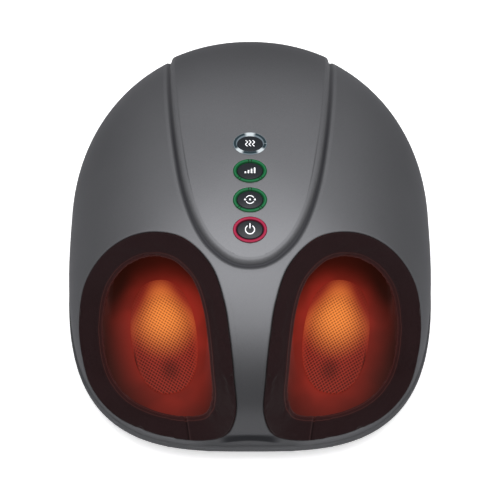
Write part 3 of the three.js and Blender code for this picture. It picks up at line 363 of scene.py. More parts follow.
# Moulded plastic: a faint grain in colour and roughness, and a spark-eroded texture.
def plastic(name, base, roughness=0.5, grain=900.0, depth=0.03, shine=0.5):
    surface = Surface(name, Specular_IOR_Level=shine)
    place = surface.place()
    fine = place.noise(grain, 3.0)
    grains = (fine * 0.5 + place.noise(40.0) * 0.5).step(0.3, 0.7)
    surface.set("Base Color", grains.blend(tint(base, 0.85), tint(base, 1.15)))
    surface.set("Roughness", place.noise(60.0) * 0.14 + (roughness - 0.07))
    surface.relief(fine, depth, 0.5)
    return surface.material


# Machined steel: fine turning lines and a little staining.
def metal(name, base, roughness=0.3):
    surface = Surface(name, Metallic=1.0)
    place = surface.place()
    x, y, z = place.parts()
    lines = (z * 9.0 + place.noise(30.0) * 4.0).math("SINE") * 0.5 + 0.5
    surface.set("Base Color", place.noise(80.0, 3.0).step(0.35, 0.65).blend(tint(base, 0.8), base))
    surface.set("Roughness", lines * 0.12 + place.noise(50.0) * 0.1 + (roughness - 0.1))
    surface.relief(lines, 0.01, 0.3)
    return surface.material


# A green board: paler copper runs under the mask, and a speckle of solder.
def boardLook(name, base):
    surface = Surface(name)
    place = surface.place()
    x, y, z = place.parts()
    runs = (x * 2.1 + (y * 0.35).math("SINE") * 1.5).math("SINE").step(0.55, 0.8)
    dots = place.noise(420.0, 1.0).step(0.68, 0.74)
    surface.set("Base Color", dots.blend(runs.blend(base, tint(base, 1.9)), (0.55, 0.55, 0.52)))
    surface.set("Roughness", 0.45 - dots * 0.2)
    surface.relief(runs + dots, 0.04, 0.5)
    return surface.material


# Padded jersey: a fine knit from crossed sines, and a soft nap from noise. Gives the
# surface and its colour.
knit = {"warp": 5.2, "weft": 4.6, "nap": 900.0, "clouds": 22.0, "roughness": 0.82, "depth": 0.25}


def jersey(name, base):
    surface = Surface(name, Specular_IOR_Level=0.1, Sheen_Weight=0.03, Sheen_Roughness=0.5)
    place = surface.place()
    x, y, z = place.parts()
    warp = (x * knit["warp"] + place.noise(60.0) * 1.2).math("SINE")
    weft = ((y + z) * knit["weft"] + place.noise(70.0) * 1.2).math("SINE")
    stitches = warp * weft * 0.5 + 0.5
    nap = place.noise(knit["nap"], 2.0)
    shares = (stitches * 0.3 + nap * 0.45 + place.noise(knit["clouds"], 2.0) * 0.25).step(0.25, 0.75)
    tone = shares.blend(tint(base, 0.65), tint(base, 1.5))
    surface.set("Base Color", tone)
    surface.set("Roughness", nap * 0.12 + knit["roughness"])
    surface.relief(stitches + nap * 0.6, knit["depth"], 0.5)
    return surface, tone


# The collar's jersey. Towards its inner edge, found from its UV, a painted glow stands in for the pocket's red
# light, most of all on the two ridges of piping. A seam crosses its heel: painted shade along it and a painted
# highlight on its lip.
def collarLook(name, base):
    surface, tone = jersey(name, base)
    around, across, z = surface.place("UV").parts(1.0)
    x, y, z = surface.place().parts()
    first, second = (across.hump(at, collarLight["pipingHalf"]) for at in collarLight["pipingAt"])
    cast = across.hump(*collarLight["lit"]).blend(collarLight["dim"], collarLight["red"])
    shown = collarLight["pipingShare"] - y.step(*collarLight["fades"]) * collarLight["fadeShare"]
    surface.glow((first.larger(second) * shown).blend(cast, collarLight["piping"]))
    beside = x.size() - y * collar["seamSlope"] - (collar["seamRow"] * collar["seamSlope"] - collar["seamAt"])
    heel = (-y).step(collar["seamEnd"] - 2, collar["seamEnd"] + 2)
    tone = (beside.hump(0.0, collar["seamHalf"]) * heel).blend(tone, collarLight["seam"])
    seamHighlight = beside.hump(collarLight["seamLipAt"], collar["seamHalf"]) * heel * collarLight["seamLipShare"]
    tone = seamHighlight.blend(tone, collarLight["seamLip"])
    surface.set("Base Color", tone)
    return surface.material


# Places of a surface in the lit sole's own frame: across the foot and along it, with both feet alike.
def solePlace(surface):
    x, y, z = surface.place().parts()
    across, along = turned(x.size() + float(sole["middle"][0]), y - float(sole["middle"][1]), sole["toeOut"])
    return -across, along


# The share of the painted red light of the lamp under the sole: an egg, longer towards the heel, with an even
# middle and a smooth fall from its edge outwards.
def redShare(across, along):
    along = along - glow["along"]
    across = across / (1.0 - along.step(0.0, 50.0) * glow["narrows"])
    behind = along.math("LESS_THAN", 0.0)
    reach = behind * (glow["behind"] - glow["ahead"]) + glow["ahead"]
    away = (((across - glow["across"]) / glow["half"]) ** 2.0 + (along / reach).size() ** 2.0) ** 0.5
    return away.fall(*glow["fall"])


# The pocket's jersey with a painted glow for the red light, which is patchy and weaker deep in the toes.
def linerLook(name, base):
    surface = jersey(name, base)[0]
    across, along = solePlace(surface)
    deep = 1.0 - along.step(*glow["deep"]) * glow["deepShare"]
    patches = surface.place().noise(glow["patches"], 1.5).step(0.38, 0.62) * glow["patchShare"] + 0.8
    surface.glow((redShare(across, along) * deep * patches).blend(glow["clothDim"], glow["clothRed"]))
    return surface.material


# The lit net, whose glow is painted light standing in for the lamp under it: an orange core over the red light,
# crossed by two sets of slanting threads, a painted shadow of a kneading node towards the heel, and a dark seam
# along its outer heel quarter. Its UV is its place in mm, as a share of netLight's span.
def netLook(name):
    surface = Surface(name, Roughness=0.7, Specular_IOR_Level=0.08)
    x, y, z = surface.place("UV").parts(netLight["span"])
    x, y = x - netLight["span"] / 2, y - netLight["span"] / 2
    lines = []
    for degrees in netLight["threads"]:
        angle = math.radians(degrees)
        phase = (y * math.cos(angle) - x * math.sin(angle)) * (math.pi / netLight["pitch"])
        lines.append(phase.math("SINE").size().fall(*netLight["threadEdges"]))
    weave = lines[1].larger(lines[0] * netLight["upperThreads"])
    wide = 1.0 - y.step(*netLight["coreNarrows"]) * netLight["narrowShare"]
    core = ovalShare(x, y, netLight["core"], wide)
    hollow = ovalShare(x, y, netLight["hollow"])
    tone = redShare(x, y).blend(netLight["dim"], netLight["red"])
    tone = core.fall(*netLight["coreFall"]).blend(tone, netLight["orange"])
    dark = hollow.fall(*netLight["hollowFall"]) * netLight["hollowShare"]
    tone = dark.blend(tone, netLight["hollowColour"])
    middle = y + net["back"]
    outer = (x / -net["halfWidth"]).larger(0.0) ** net["power"]
    outer = outer + (middle / -net["halfLength"]).larger(0.0) ** net["power"]
    seam = outer.hump(*netLight["seamAt"]) * (-y).step(*netLight["seamBack"]) * (-x).step(*netLight["seamOut"])
    edge = (x / net["halfWidth"]).size() ** net["power"] + (middle / net["halfLength"]).size() ** net["power"]
    depth = y.fall(*netLight["heel"]) * netLight["heelShare"] + netLight["threadShare"]
    depth = depth * (1.0 - edge.step(*netLight["edge"]) * netLight["edgeShare"])
    light = (1.0 - (1.0 - weave) * depth) * (1.0 - seam * netLight["seamShare"])
    surface.set("Base Color", weave.blend(netLight["thread"], netLight["threadTop"]))
    surface.glow(tone.dimmed(light))
    surface.relief(weave, 0.3, 0.6)
    return surface.material


# How far a place lies from an oval's middle, as a share of its size: middle x and y, then half sizes.
def ovalShare(x, y, oval, wide=1.0):
    middleX, middleY, halfX, halfY = oval
    return (((x - middleX) / (wide * halfX)) ** 2.0 + ((y - middleY) / halfY) ** 2.0) ** 0.5


# A lit ring: darker lines along its two edges, a thin brighter line between them, and short marks
# across the band, each a smooth hump round its own place.
def ringLook(name, band, middle, edge, mark, marks=()):
    surface = Surface(name, Roughness=0.45, Specular_IOR_Level=0.08)
    around, across, z = surface.place("UV").parts(1.0)
    rim = (across - 0.5).size().step(*ring["edges"])
    light = rim.blend(across.hump(*ring["line"]).blend(band, middle), edge)
    lit = rim * 0.0
    for place, reach in marks:
        aside = (around - place).size()
        lit = lit.larger(aside.math("MINIMUM", 1.0 - aside).fall(reach * ring["markCore"], reach))
    light = lit.blend(light, mark)
    surface.set("Base Color", light.dimmed(ring["unlit"]))
    surface.glow(light, ring["strength"])
    return surface.material


# Printed legend: white ink with a faint speckle, and a painted glow that brightens the ink.
def legendLook(name):
    surface = Surface(name, Roughness=0.55)
    speckle = surface.place().noise(900.0, 2.0)
    surface.set("Base Color", speckle.blend((0.72, 0.72, 0.74), (0.86, 0.86, 0.88)))
    surface.glow(speckle.blend((0.28, 0.28, 0.29), (0.34, 0.34, 0.35)))
    return surface.material


# The dome's surface, as the part has it

dome = {
    "halfWidth": 179.0, "frontReach": 232.0, "backReach": 188.0, "crest": 22.0, "belt": 42.0, "rise": 165.0,
    "planFront": 3.16, "planBack": 2.09, "riseFront": 2.15, "riseSide": 2.6, "riseBack": 2.87,
}


# The dome is a superellipse in plan and another in rise. Their powers and the plan's reach differ in
# front and behind, and the rise's power turns from the sides' to the end's with the square of the heading.
def planFacts(x, dy):
    back = dy > 0
    plan = np.where(back, dome["planBack"], dome["planFront"])
    reach = np.where(back, dome["backReach"], dome["frontReach"])
    heading = dy**2 / np.maximum(x**2 + dy**2, 1e-9)
    end = np.where(back, dome["riseBack"], dome["riseFront"])
    return plan, reach, dome["riseSide"] + (end - dome["riseSide"]) * heading


# A place's share of the way from the crest to the edge of the plan.
def planShare(x, dy, plan, reach):
    return (np.abs(x / dome["halfWidth"]) ** plan + np.abs(dy / reach) ** plan) ** (1 / plan)


# How far a point lies outside the dome: the power mean of its shares of the plan and of the rise, less 1.
def outside(points):
    x, y, z = np.moveaxis(points, -1, 0)
    plan, reach, rise = planFacts(x, y - dome["crest"])
    spread = planShare(x, y - dome["crest"], plan, reach)
    lift = np.maximum(z - dome["belt"], 0) / dome["rise"]
    return (spread**rise + lift**rise) ** (1 / rise) - 1


# The dome's normals: the slopes of outside() along the three axes, made 1 long.
def outwards(points, step=0.05):
    shifts = np.eye(3) * step
    slopes = [outside(points + s) - outside(points - s) for s in shifts]
    return unit(np.stack(slopes, -1))


# Points moved along the dome's normal on to its surface, by a few rounds of Newton's method.
def settle(points, rounds=4, ahead=0.5):
    for _ in range(rounds):
        normals = outwards(points)
        here = outside(points)
        slope = (outside(points + normals * ahead) - here) / ahead
        points = points - normals * (here / slope)[..., None]
    return points


# Height of the dome over places in plan.
def domeHeight(x, y):
    plan, reach, rise = planFacts(x, y - dome["crest"])
    spread = planShare(x, y - dome["crest"], plan, reach)
    return dome["belt"] + dome["rise"] * np.maximum(1 - spread**rise, 0) ** (1 / rise)


# A point of the dome by heading round its plan and by slope, from 0 at the crest to 1 at the belt.
def domeAt(heading, slope):
    c, s = np.cos(heading), np.sin(heading)
    plan, reach, rise = planFacts(c, s)
    edge = ((np.abs(c) / dome["halfWidth"]) ** plan + (np.abs(s) / reach) ** plan) ** (-1 / plan)
    quarter = slope * math.pi / 2
    spread = np.sin(quarter) ** (2 / rise)
    height = dome["rise"] * np.maximum(np.cos(quarter), 0) ** (2 / rise)
    return np.stack([edge * spread * c, dome["crest"] + edge * spread * s, dome["belt"] + height], -1)


# Foot openings

# The lit sole's place and turn, on the left. It also sets where the opening's own plane lies.
sole = {"pitch": math.radians(6), "toeOut": math.radians(8), "middle": np.array([-84.5, -89.5, 58.0])}
opening = {
    "lean": math.radians(33), "across": 74.5, "up": 97.0, "out": 2.0, "down": 6.0, "middle": sole["middle"],
    "steps": 260, "rimSteps": 520, "lowest": -58.0, "highest": 212.0, "halvings": 40, "behind": -20,
}
# Corners of the opening's outline, as shares of its size across and up.
openingShares = [
    (0.92, 0.03), (0.85, 0.36), (0.7, 0.68), (0.38, 0.93), (0.03, 1), (-0.34, 0.95), (-0.68, 0.77),
    (-0.92, 0.48), (-1, 0.1), (-0.97, -0.22), (-0.88, -0.5), (-0.58, -0.76), (-0.2, -0.9), (0.2, -0.98),
    (0.6, -1), (0.88, -0.93), (0.99, -0.72), (0.97, -0.36),
]
leanUp = np.array([0, math.cos(opening["lean"]), math.sin(opening["lean"])])
leanOut = np.array([0, -math.sin(opening["lean"]), math.cos(opening["lean"])])
far = 1e3


# Places across, up and out of the opening's leaning plane.
def fromPlane(u, v, w):
    across = np.array([1.0, 0, 0])
    return opening["middle"] + u[..., None] * across + v[..., None] * leanUp + w[..., None] * leanOut


def toPlane(points):
    relative = points - opening["middle"]
    return relative[..., 0], relative @ leanUp, relative @ leanOut


# The opening's outline in its plane: its corners' spline, drawn in by an inset.
def openingLoop(inset, steps=opening["steps"]):
    shares = spline(openingShares, steps, True)
    u = shares[:, 0] * (opening["across"] - inset) - opening["out"]
    v = shares[:, 1] * (opening["up"] - inset) - opening["down"]
    return u, v


# How far along the opening's direction the dome lies, over points of the leaning plane, by halving.
def domeDepth(u, v):
    inside = np.full(np.shape(u), opening["lowest"])
    beyond = np.full(np.shape(u), opening["highest"])
    for _ in range(opening["halvings"]):
        middle = (inside + beyond) / 2
        out = outside(fromPlane(u, v, middle)) > 0
        beyond = np.where(out, middle, beyond)
        inside = np.where(out, inside, middle)
    return (inside + beyond) / 2


# The opening's rim as points on the dome.
def openingRim(steps=opening["steps"]):
    u, v = openingLoop(0, steps)
    return fromPlane(u, v, domeDepth(u, v))


# Signed distance from places to a closed loop, in its plane: positive inside. It is the least over
# the loop's edges, and a place is inside when a ray from it crosses them an odd number of times.
def depthInside(px, py, loopX, loopY):
    shape = np.shape(px)
    px, py = np.ravel(px), np.ravel(py)
    ax, ay = loopX, loopY
    bx, by = np.roll(loopX, -1), np.roll(loopY, -1)
    dx, dy = bx - ax, by - ay
    best = np.full(len(px), 1e9)
    crossings = np.zeros(len(px), int)
    for i in range(len(ax)):
        along = np.clip(((px - ax[i]) * dx[i] + (py - ay[i]) * dy[i]) / (dx[i] ** 2 + dy[i] ** 2 + 1e-12), 0, 1)
        best = np.minimum(best, np.hypot(px - ax[i] - along * dx[i], py - ay[i] - along * dy[i]))
        straddles = (ay[i] > py) != (by[i] > py)
        reach = ax[i] + (py - ay[i]) * dx[i] / (dy[i] if abs(dy[i]) > 1e-9 else 1e-9)
        crossings += straddles & (px < reach)
    return np.where(crossings % 2 == 1, best, -best).reshape(shape)


# Tongue of the control panel

tongue = {
    "tip": -100.4, "length": 237.4, "halfWidth": 80.0, "end": 68.0, "corner": 9.0, "rise": 2.5, "beyond": 260,
    "backFrom": 60,
}
# The tongue's outline from its tip: shares of its half width and of its length.
tongueShares = [
    (0, 0), (0.1, 0.0025), (0.2, 0.0116), (0.335, 0.0374), (0.517, 0.1), (0.66, 0.194), (0.785, 0.338),
    (0.885, 0.545), (0.955, 0.768), (1, 1),
]


# One side of the outline in plan: half the spline through both sides' shares, then straight back.
def tongueSide(count=400):
    mirroredShares = [(-a, b) for a, b in tongueShares[:0:-1]]
    side = spline(mirroredShares + tongueShares, 2 * count + 1, False)[count:]
    side = side * [tongue["halfWidth"], tongue["length"]] + [0, tongue["tip"]]
    side[0, 0] = 0
    return np.vstack([side, [[tongue["halfWidth"], tongue["beyond"]]]])


tongueHalf = tongueSide()


def tongueWidth(y):
    return np.interp(y, tongueHalf[:, 1], tongueHalf[:, 0])


# Distance in from the tongue's edge, with its two lower back corners rounded: negative outside.
def tongueDepth(points):
    x, y, z = np.moveaxis(points, -1, 0)
    loop = np.vstack([tongueHalf, tongueHalf[::-1] * [-1, 1]])
    aside = depthInside(x, y, loop[:, 0], loop[:, 1])
    above = np.where(y > tongue["backFrom"], z - tongue["end"], far)
    corner = tongue["corner"]
    inCorner = np.hypot(np.maximum(corner - aside, 0), np.maximum(corner - above, 0))
    rounded = (aside < corner) & (above < corner)
    return np.where(rounded, corner - inCorner, np.minimum(aside, above))


# Strip of surface along a closed loop on the dome. Its profile gives, for each line, the distance
# outwards from the loop and the height above the dome.
def stripOnDome(loop, profile, inwardsOf):
    along = unit(np.roll(loop, -1, 0) - np.roll(loop, 1, 0))
    normals = outwards(loop)
    aside = unit(np.cross(along, normals))
    if np.sum(aside * (loop - inwardsOf)) < 0:
        aside = -aside
    lines = []
    for away, height in profile:
        foot = settle(loop + aside * away)
        lines.append(foot + outwards(foot) * height)
    return np.stack(lines, 1)


# Dome shell

# Its dips hold where it starts to sink under the groove or a lip and where it has sunk fully, and its
# ends where it stops, as distances in from the edge of the tongue or of an opening.
shell = {
    "headings": 600, "slopes": 216, "firstSlope": 0.004, "skirt": 3.5, "dipsByTongue": (-4.0, -1.0),
    "dipsByOpening": (-3.4, -1.4), "endsByTongue": 6, "endsByOpening": -0.8, "reach": 12.0,
}
# The rounded edge: distances out from the rim and heights, and then the heights of the wall inside.
lip = {
    "outer": [(5.9, -0.4), (5.5, 0.02), (5.48, 0.02), (4.8, 0.02), (3.8, 0.015), (2.6, 0), (1.6, -0.03),
              (0.9, -0.16), (0.4, -0.45), (0.1, -0.95)],
    "wall": (-1.6, -3, -6), "draw": 0.0005,
}
crease = {
    "height": 60.0, "depth": 1.8, "width": 4.2, "ends": (21, 35), "brow": 50.5, "browRise": 0.8,
    "browWidth": 4.5,
}


# The crease across the bridge: a valley and a brow below it, both bells of height, that fade sideways.
def creaseRelief(points):
    x, y, z = np.moveaxis(points, -1, 0)
    reach = (1 - smooth(np.abs(x), *crease["ends"])) * (y < 0)
    valley = crease["depth"] * bump(z, crease["height"], crease["width"])
    brow = crease["browRise"] * bump(z, crease["brow"], crease["browWidth"])
    return (brow - valley) * reach


# How far points lie inside the nearer opening, in its leaning plane, and far outside behind it.
def openingDepth(points):
    u, v = openingLoop(0)
    depths = []
    for sign in (1, -1):
        pu, pv, pw = toPlane(points * [sign, 1, 1])
        depths.append(np.where(pw > opening["behind"], depthInside(pu, pv, u, v), -far))
    return np.maximum(*depths)


# The same distance measured straight to the opening's rim: the least to its points, with that sign.
def edgeDepth(points):
    inOpening = openingDepth(points)
    rim = openingRim(opening["rimSteps"]).astype(np.float32)
    near = inOpening > -shell["reach"]
    away = np.full(inOpening.shape, shell["reach"])
    for sign in (1, -1):
        beside = (points[near] * [sign, 1, 1]).astype(np.float32)
        away[near] = np.minimum(away[near], np.linalg.norm(beside[:, None] - rim, axis=-1).min(1))
    return np.where(inOpening > 0, away, -away)


# The dome by heading and slope, with its crease. It dips under the groove and the lips, and ends there.
def makeDome():
    slope = np.linspace(shell["firstSlope"], 1, shell["slopes"])
    points = domeAt(*np.meshgrid(onceRound(shell["headings"]), slope, indexing="xy"))
    inTongue, inEdge = tongueDepth(points), edgeDepth(points)
    dip = np.maximum(smooth(inTongue, *shell["dipsByTongue"]), smooth(inEdge, *shell["dipsByOpening"]))
    points = points + outwards(points) * (creaseRelief(points) - shell["skirt"] * dip)[..., None]
    faces = gridFaces(shell["slopes"], shell["headings"], closedColumns=True)
    keep = (inEdge.ravel()[faces] < shell["endsByOpening"]).all(1)
    keep = keep & (inTongue.ravel()[faces] < shell["endsByTongue"]).any(1)
    makePiece("dome", points, faces[keep], "shell", replaces=["upper_housing"], flip=True)


# The rounded edge of one foot opening: its profile carried round the rim, then a wall down into it.
def makeOpeningLip(side, sign):
    loop = openingRim()
    middle = loop.mean(0)
    outer = stripOnDome(loop, lip["outer"], middle)
    outer = outer + outwards(outer) * creaseRelief(outer)[..., None]
    inner = [loop + leanOut * height + (middle - loop) * lip["draw"] for height in lip["wall"]]
    points = np.concatenate([outer, np.stack(inner, 1)], 1) * [sign, 1, 1]
    faces = gridFaces(*points.shape[:2], closedRows=True)
    makePiece(f"{side}_opening_lip", points, faces, "shell", flip=sign > 0)


# Panel, its groove, and the wells under the buttons

groove = {
    # Distances out from the tongue's edge, and heights above the dome.
    "profile": [
        (6.6, -0.4), (6.2, 0.02), (6.18, 0.02), (5, 0.02), (4.6, 0.012), (4.1, -0.02), (3.5, -0.2), (2.9, -0.55),
        (2.2, -1.05), (1.4, -1.45), (0.6, -1.65), (-0.2, -1.6), (-0.9, -1.1), (-1.6, -0.2), (-2.4, 0.85),
        (-3.3, 1.7), (-4.4, 2.3), (-5.5, 2.49), (-6.6, 2.52), (-7.2, 2.52), (-7.22, 2.52), (-7.6, 2.1),
    ],
    "middle": np.array([0, 60.0, 150.0]),
    "floorAt": 0.47, "floorHalf": 0.2, "floorShadeColour": (0.03, 0.03, 0.034), "fades": (10.0, 140.0),
    "fadeShare": 0.45,
}
# Steps round the tongue's outline: closer ones at the tip, then in plan to the turn, down the back
# wall, round its corner and across its end.
outline = {
    "tipReach": 12, "tipSteps": 60, "tipPower": 2.4, "planEnd": 185, "planSteps": 330, "turnAbove": 45,
    "turnGap": 1.5, "downSteps": 40, "cornerSteps": 16, "endSteps": 50,
}
panel = {
    "starts": 1.5, "tip": (0.02, 7, 24), "row": (8.2, 1.15), "turn": 150, "downSteps": 140, "downPower": 0.9,
    "below": 2, "edgeLines": (0, 3, 4.6, 5.2, 5.6, 6, 6.4, 7), "innerLines": (0.12, 1, 60),
    "hidden": (5.2, 6.4), "hiddenDrop": 4.5, "well": (0.97, 1.06), "wellDrop": 5,
}
controls = {
    "names": ["power", "mode", "strength", "heat"], "first": -70.6, "pitch": 29.6, "across": 15.5, "along": 12.5,
    "band": 3.2, "above": 200.0,
}


# The panel's outline as a closed loop on the dome, round the tip and across the back end.
def tongueLoop():
    tip, half, end, corner = (tongue[key] for key in ("tip", "halfWidth", "end", "corner"))
    y = np.linspace(tip, outline["planEnd"], outline["planSteps"])
    nearTip = np.linspace(0, 1, outline["tipSteps"])[:-1] ** outline["tipPower"] * outline["tipReach"]
    y = np.concatenate([tip + nearTip, y[y > tip + outline["tipReach"]]])
    x = tongueWidth(y)
    z = domeHeight(x, y)
    upper = np.stack([x, y, z], 1)[z > end + outline["turnAbove"]]
    low = np.linspace(upper[-1, 2] - outline["turnGap"], end + corner, outline["downSteps"])
    angle = np.linspace(0, math.pi / 2, outline["cornerSteps"])[1:]
    across = np.linspace(half - corner, 0, outline["endSteps"])[1:]
    backX = np.concatenate([np.full(len(low), half), half - corner + corner * np.cos(angle), across])
    backZ = np.concatenate([low, end + corner - corner * np.sin(angle), np.full(len(across), end)])
    whole = np.vstack([upper, backPoint(backX, backZ)])
    return np.vstack([whole, (whole[1:-1] * [-1, 1, 1])[::-1]])


# The dome's back wall over a place across and a height: its two formulas solved for y, in turns.
def backPoint(x, z, start=190.0, rounds=12):
    y = np.full(np.shape(x), start)
    for _ in range(rounds):
        rise = planFacts(x, y - dome["crest"])[2]
        spread = np.maximum(1 - ((z - dome["belt"]) / dome["rise"]) ** rise, 0) ** (1 / rise)
        side = np.abs(x) / (dome["halfWidth"] * spread)
        power = dome["planBack"]
        y = dome["crest"] + dome["backReach"] * spread * np.maximum(1 - side**power, 0) ** (1 / power)
    return np.stack([x, y, z], -1)


# The groove: its profile carried round the tongue's outline. Its UV runs round it and across it.
def makeGroove():
    points = stripOnDome(tongueLoop(), groove["profile"], groove["middle"])
    count, width = points.shape[:2]
    uv = gridPlaces(np.arange(count) / count, np.arange(width) / (width - 1))
    makePiece("panel_groove", points, gridFaces(count, width, closedRows=True), "groove", uv=uv)


# Each button's middle on the panel, the way up the panel there, and the normal square to it.
def buttonFrames():
    frames = []
    for i in range(len(controls["names"])):
        y = controls["first"] + i * controls["pitch"]
        places = np.array([[0, y + s * controls["pitch"] / 2, controls["above"]] for s in (0, 1, -1)])
        foot, ahead, behind = (settle(place[None])[0] for place in places)
        along = unit(ahead - behind)
        normal = np.array([0, -along[2], along[1]])
        frames.append((foot + normal * tongue["rise"], along, normal))
    return frames


frames = buttonFrames()


# Share of a button's oval at a place: below 1 inside its ring's middle line.
def inButton(points):
    least = np.full(points.shape[:-1], far)
    for middle, along, normal in frames:
        relative = points - middle
        across = relative[..., 0] / (controls["across"] - controls["band"] / 2)
        up = relative @ along / (controls["along"] - controls["band"] / 2)
        least = np.minimum(least, np.hypot(across, up))
    return least


# The panel: lines at shares of the tongue's width, over the crown in plan and then down the back wall,
# raised off the dome. It sinks at its edges under the groove, and under the buttons into wells.
def makePanel():
    share = np.concatenate([np.array(panel["edgeLines"]) / tongue["halfWidth"], np.linspace(*panel["innerLines"])])
    u = np.concatenate([share - 1, (1 - share)[-2::-1]])
    tip = tongue["tip"] + panel["starts"]
    first, step = panel["row"]
    y = np.concatenate([tip + np.linspace(*panel["tip"]), np.arange(tip + first, panel["turn"], step)])[:, None]
    x = u * tongueWidth(y)
    front = np.stack([x, y + 0 * x, domeHeight(x, y)], -1)
    down = np.linspace(0, 1, panel["downSteps"])[1:, None] ** panel["downPower"]
    z = front[-1, :, 2] * (1 - down) + (tongue["end"] - panel["below"]) * down
    points = settle(np.concatenate([front, backPoint(u * tongue["halfWidth"] + 0 * z, z)]), 2)
    hidden = 1 - smooth(tongueDepth(points), *panel["hidden"])
    inWell = 1 - smooth(inButton(points + outwards(points) * tongue["rise"]), *panel["well"])
    height = tongue["rise"] - panel["hiddenDrop"] * hidden - panel["wellDrop"] * inWell
    points = points + outwards(points) * height[..., None]
    makePiece("panel", points, gridFaces(*points.shape[:2]), "panel", replaces=["control_panel"])


# Collars, liners and nets

collar = {
    "width": 23, "steps": 560, "sectionSteps": 72, "seamAt": -60.5, "seamRow": 186, "seamSlope": 0.17,
    "seamEnd": 150, "seamDepth": 0.9, "seamHalf": 0.9, "seamLip": (2.6, 1.6), "seamLipShare": 0.5,
    "unevenness": 0.3, "lumpSize": 11, "topUp": (-9.5, -6), "topIn": (1, 4), "clothSteps": 140,
    "clothSectionSteps": 24, "heldBelow": -8.5, "heldBeside": 2.5,
    "frames": 20, "quality": 6, "cutLarger": 0.03, "pressure": 4.0, "mostSwell": 1.6,
}
collarLight = {
    "lit": (0.6, 0.2), "dim": (0.0042, 0.0006, 0.0006), "red": (0.03, 0.0035, 0.0022), "pipingAt": (0.454, 0.54),
    "pipingHalf": 0.014, "piping": (0.06, 0.016, 0.012), "fades": (-120.0, -30.0),
    "fadeShare": 0.5, "pipingShare": 0.62, "seam": (0.0008, 0.0004, 0.0004), "seamLip": (0.03, 0.016, 0.016),
    "seamLipAt": -1.5, "seamLipShare": 0.6,
}
# Across the collar from the shell inwards, and above the rim.
collarSection = [
    (0.3, -3), (0.6, -0.7), (1.8, 0.7), (5, 1.5), (10, 1.6), (15, 0.8), (18.8, -0.8), (21.6, -3.2), (22.8, -6),
    (22.5, -8.8), (20, -10), (10, -10), (2, -9.4), (0.4, -6),
]
piping = {"places": [(19.8, -1.6), (22.3, -4.8)], "height": 0.9, "width": 0.85}
well = {
    "halfWidth": 44.0, "heel": 82.0, "toe": 130.0, "tuck": 0.3 + 0.82 * collar["width"], "drop": 10.6,
    "tuckUp": 3.4, "underNet": 1.2, "steps": 200, "layers": 26, "closedAbove": 20, "openAbove": 8,
}
toes = {
    "reach": 208.0, "halfWidth": 47.0, "instep": 92.0, "archPower": 2.5, "solePower": 5.0, "lift": 0.5,
    "steps": 96, "rings": 50,
    # Along the foot, width and height of the toe end's arches.
    "arches": [(0.24, 0.96, 1), (0.42, 1, 0.96), (0.6, 0.97, 0.85), (0.78, 0.88, 0.68), (0.93, 0.62, 0.46),
               (1, 0.26, 0.22)],
}
liner = {
    "voxel": 2, "smoothing": 0.5, "smoothRounds": 8, "wall": 1.2, "rimInset": 1.5, "holeShare": 0.75,
    "letDown": (1.0, 1.4),
}
folds = {
    "count": 11, "height": 0.9, "wander": 1.4, "wanderPitch": 17, "middle": 24, "foot": (2, 26), "top": (60, 90),
    "topShare": 0.4, "lumps": 0.8, "lumpSize": 16, "softness": 0.3, "softSize": 9,
}
net = {
    "halfWidth": 31.5, "halfLength": 60.0, "back": 10.0, "power": 2.3, "crown": 3.0, "lift": 0.25, "wall": 1.0,
    "firstShare": 0.002, "rings": 44, "steps": 200,
}
# The painted light under the net, in mm across the foot and along it: first the red light, and then the net's
# orange core and the painted shadow of a kneading node under it, each an oval with its middle and its half sizes.
glow = {
    "across": 5.0, "along": 8.0, "half": 31.0, "ahead": 44.0, "behind": 68.0, "narrows": 0.34,
    "fall": (0.6, 2.15), "deep": (38.0, 72.0), "clothDim": (0.018, 0.0035, 0.002),
    "clothRed": (0.27, 0.019, 0.011), "deepShare": 0.85, "patches": 26.0, "patchShare": 0.3,
}
netLight = {
    "span": 200.0, "threads": (60, -43), "pitch": 2.7, "core": (1.5, 18.0, 32.0, 41.0),
    "hollow": (2.0, -37.0, 14.0, 17.0), "dim": (0.01, 0.002, 0.0012), "red": (0.33, 0.028, 0.015),
    "orange": (1.1, 0.31, 0.06), "hollowColour": (0.1, 0.009, 0.005), "thread": (0.006, 0.002, 0.0015),
    "threadTop": (0.016, 0.005, 0.004), "coreFall": (0.1, 1.2), "coreNarrows": (4.0, 50.0), "narrowShare": 0.42,
    "hollowFall": (0.1, 1.0), "hollowShare": 0.65, "seamAt": (0.88, 0.1), "seamBack": (4.0, 22.0),
    "seamOut": (2.0, 12.0), "seamShare": 0.75, "threadShare": 0.58, "heelShare": 0.16, "heel": (-30.0, 20.0),
    "edge": (0.55, 1.0), "edgeShare": 0.8, "upperThreads": 0.75, "threadEdges": (0.15, 0.8),
}


# The sole's own places in the part's frame, and back: turned by its pitch and its toe-out, then moved.
def soleToFrame(points):
    x, y, z = np.moveaxis(np.asarray(points, float), -1, 0)
    y, z = turned(y, z, sole["pitch"])
    x, y = turned(x, y, sole["toeOut"])
    return np.stack([x, y, z], -1) + sole["middle"]


def frameToSole(points):
    x, y, z = np.moveaxis(points - sole["middle"], -1, 0)
    x, y = turned(x, y, -sole["toeOut"])
    y, z = turned(y, z, -sole["pitch"])
    return np.stack([x, y, z], -1)


# Normals of a grid of points: its slopes down the rows and along the columns, crossed.
def gridNormals(points, closedRows=False, closedColumns=False):
    def slope(axis, closed):
        if closed:
            return np.roll(points, -1, axis) - np.roll(points, 1, axis)
        return np.gradient(points, axis=axis)

    return unit(np.cross(slope(0, closedRows), slope(1, closedColumns)) + 1e-12)


# Slow uneven swelling of stuffed cloth, from a few crossed waves.
def unevenness(points, size, seed):
    random = np.random.default_rng(seed)
    total = np.zeros(points.shape[:-1])
    for _ in range(7):
        direction = unit(random.normal(size=3)) * random.uniform(0.6, 1.6) / size
        total += np.sin(points @ direction + random.uniform(0, 6.28))
    return total / 7


def rimDepths(steps):
    return domeDepth(*openingLoop(0, steps))


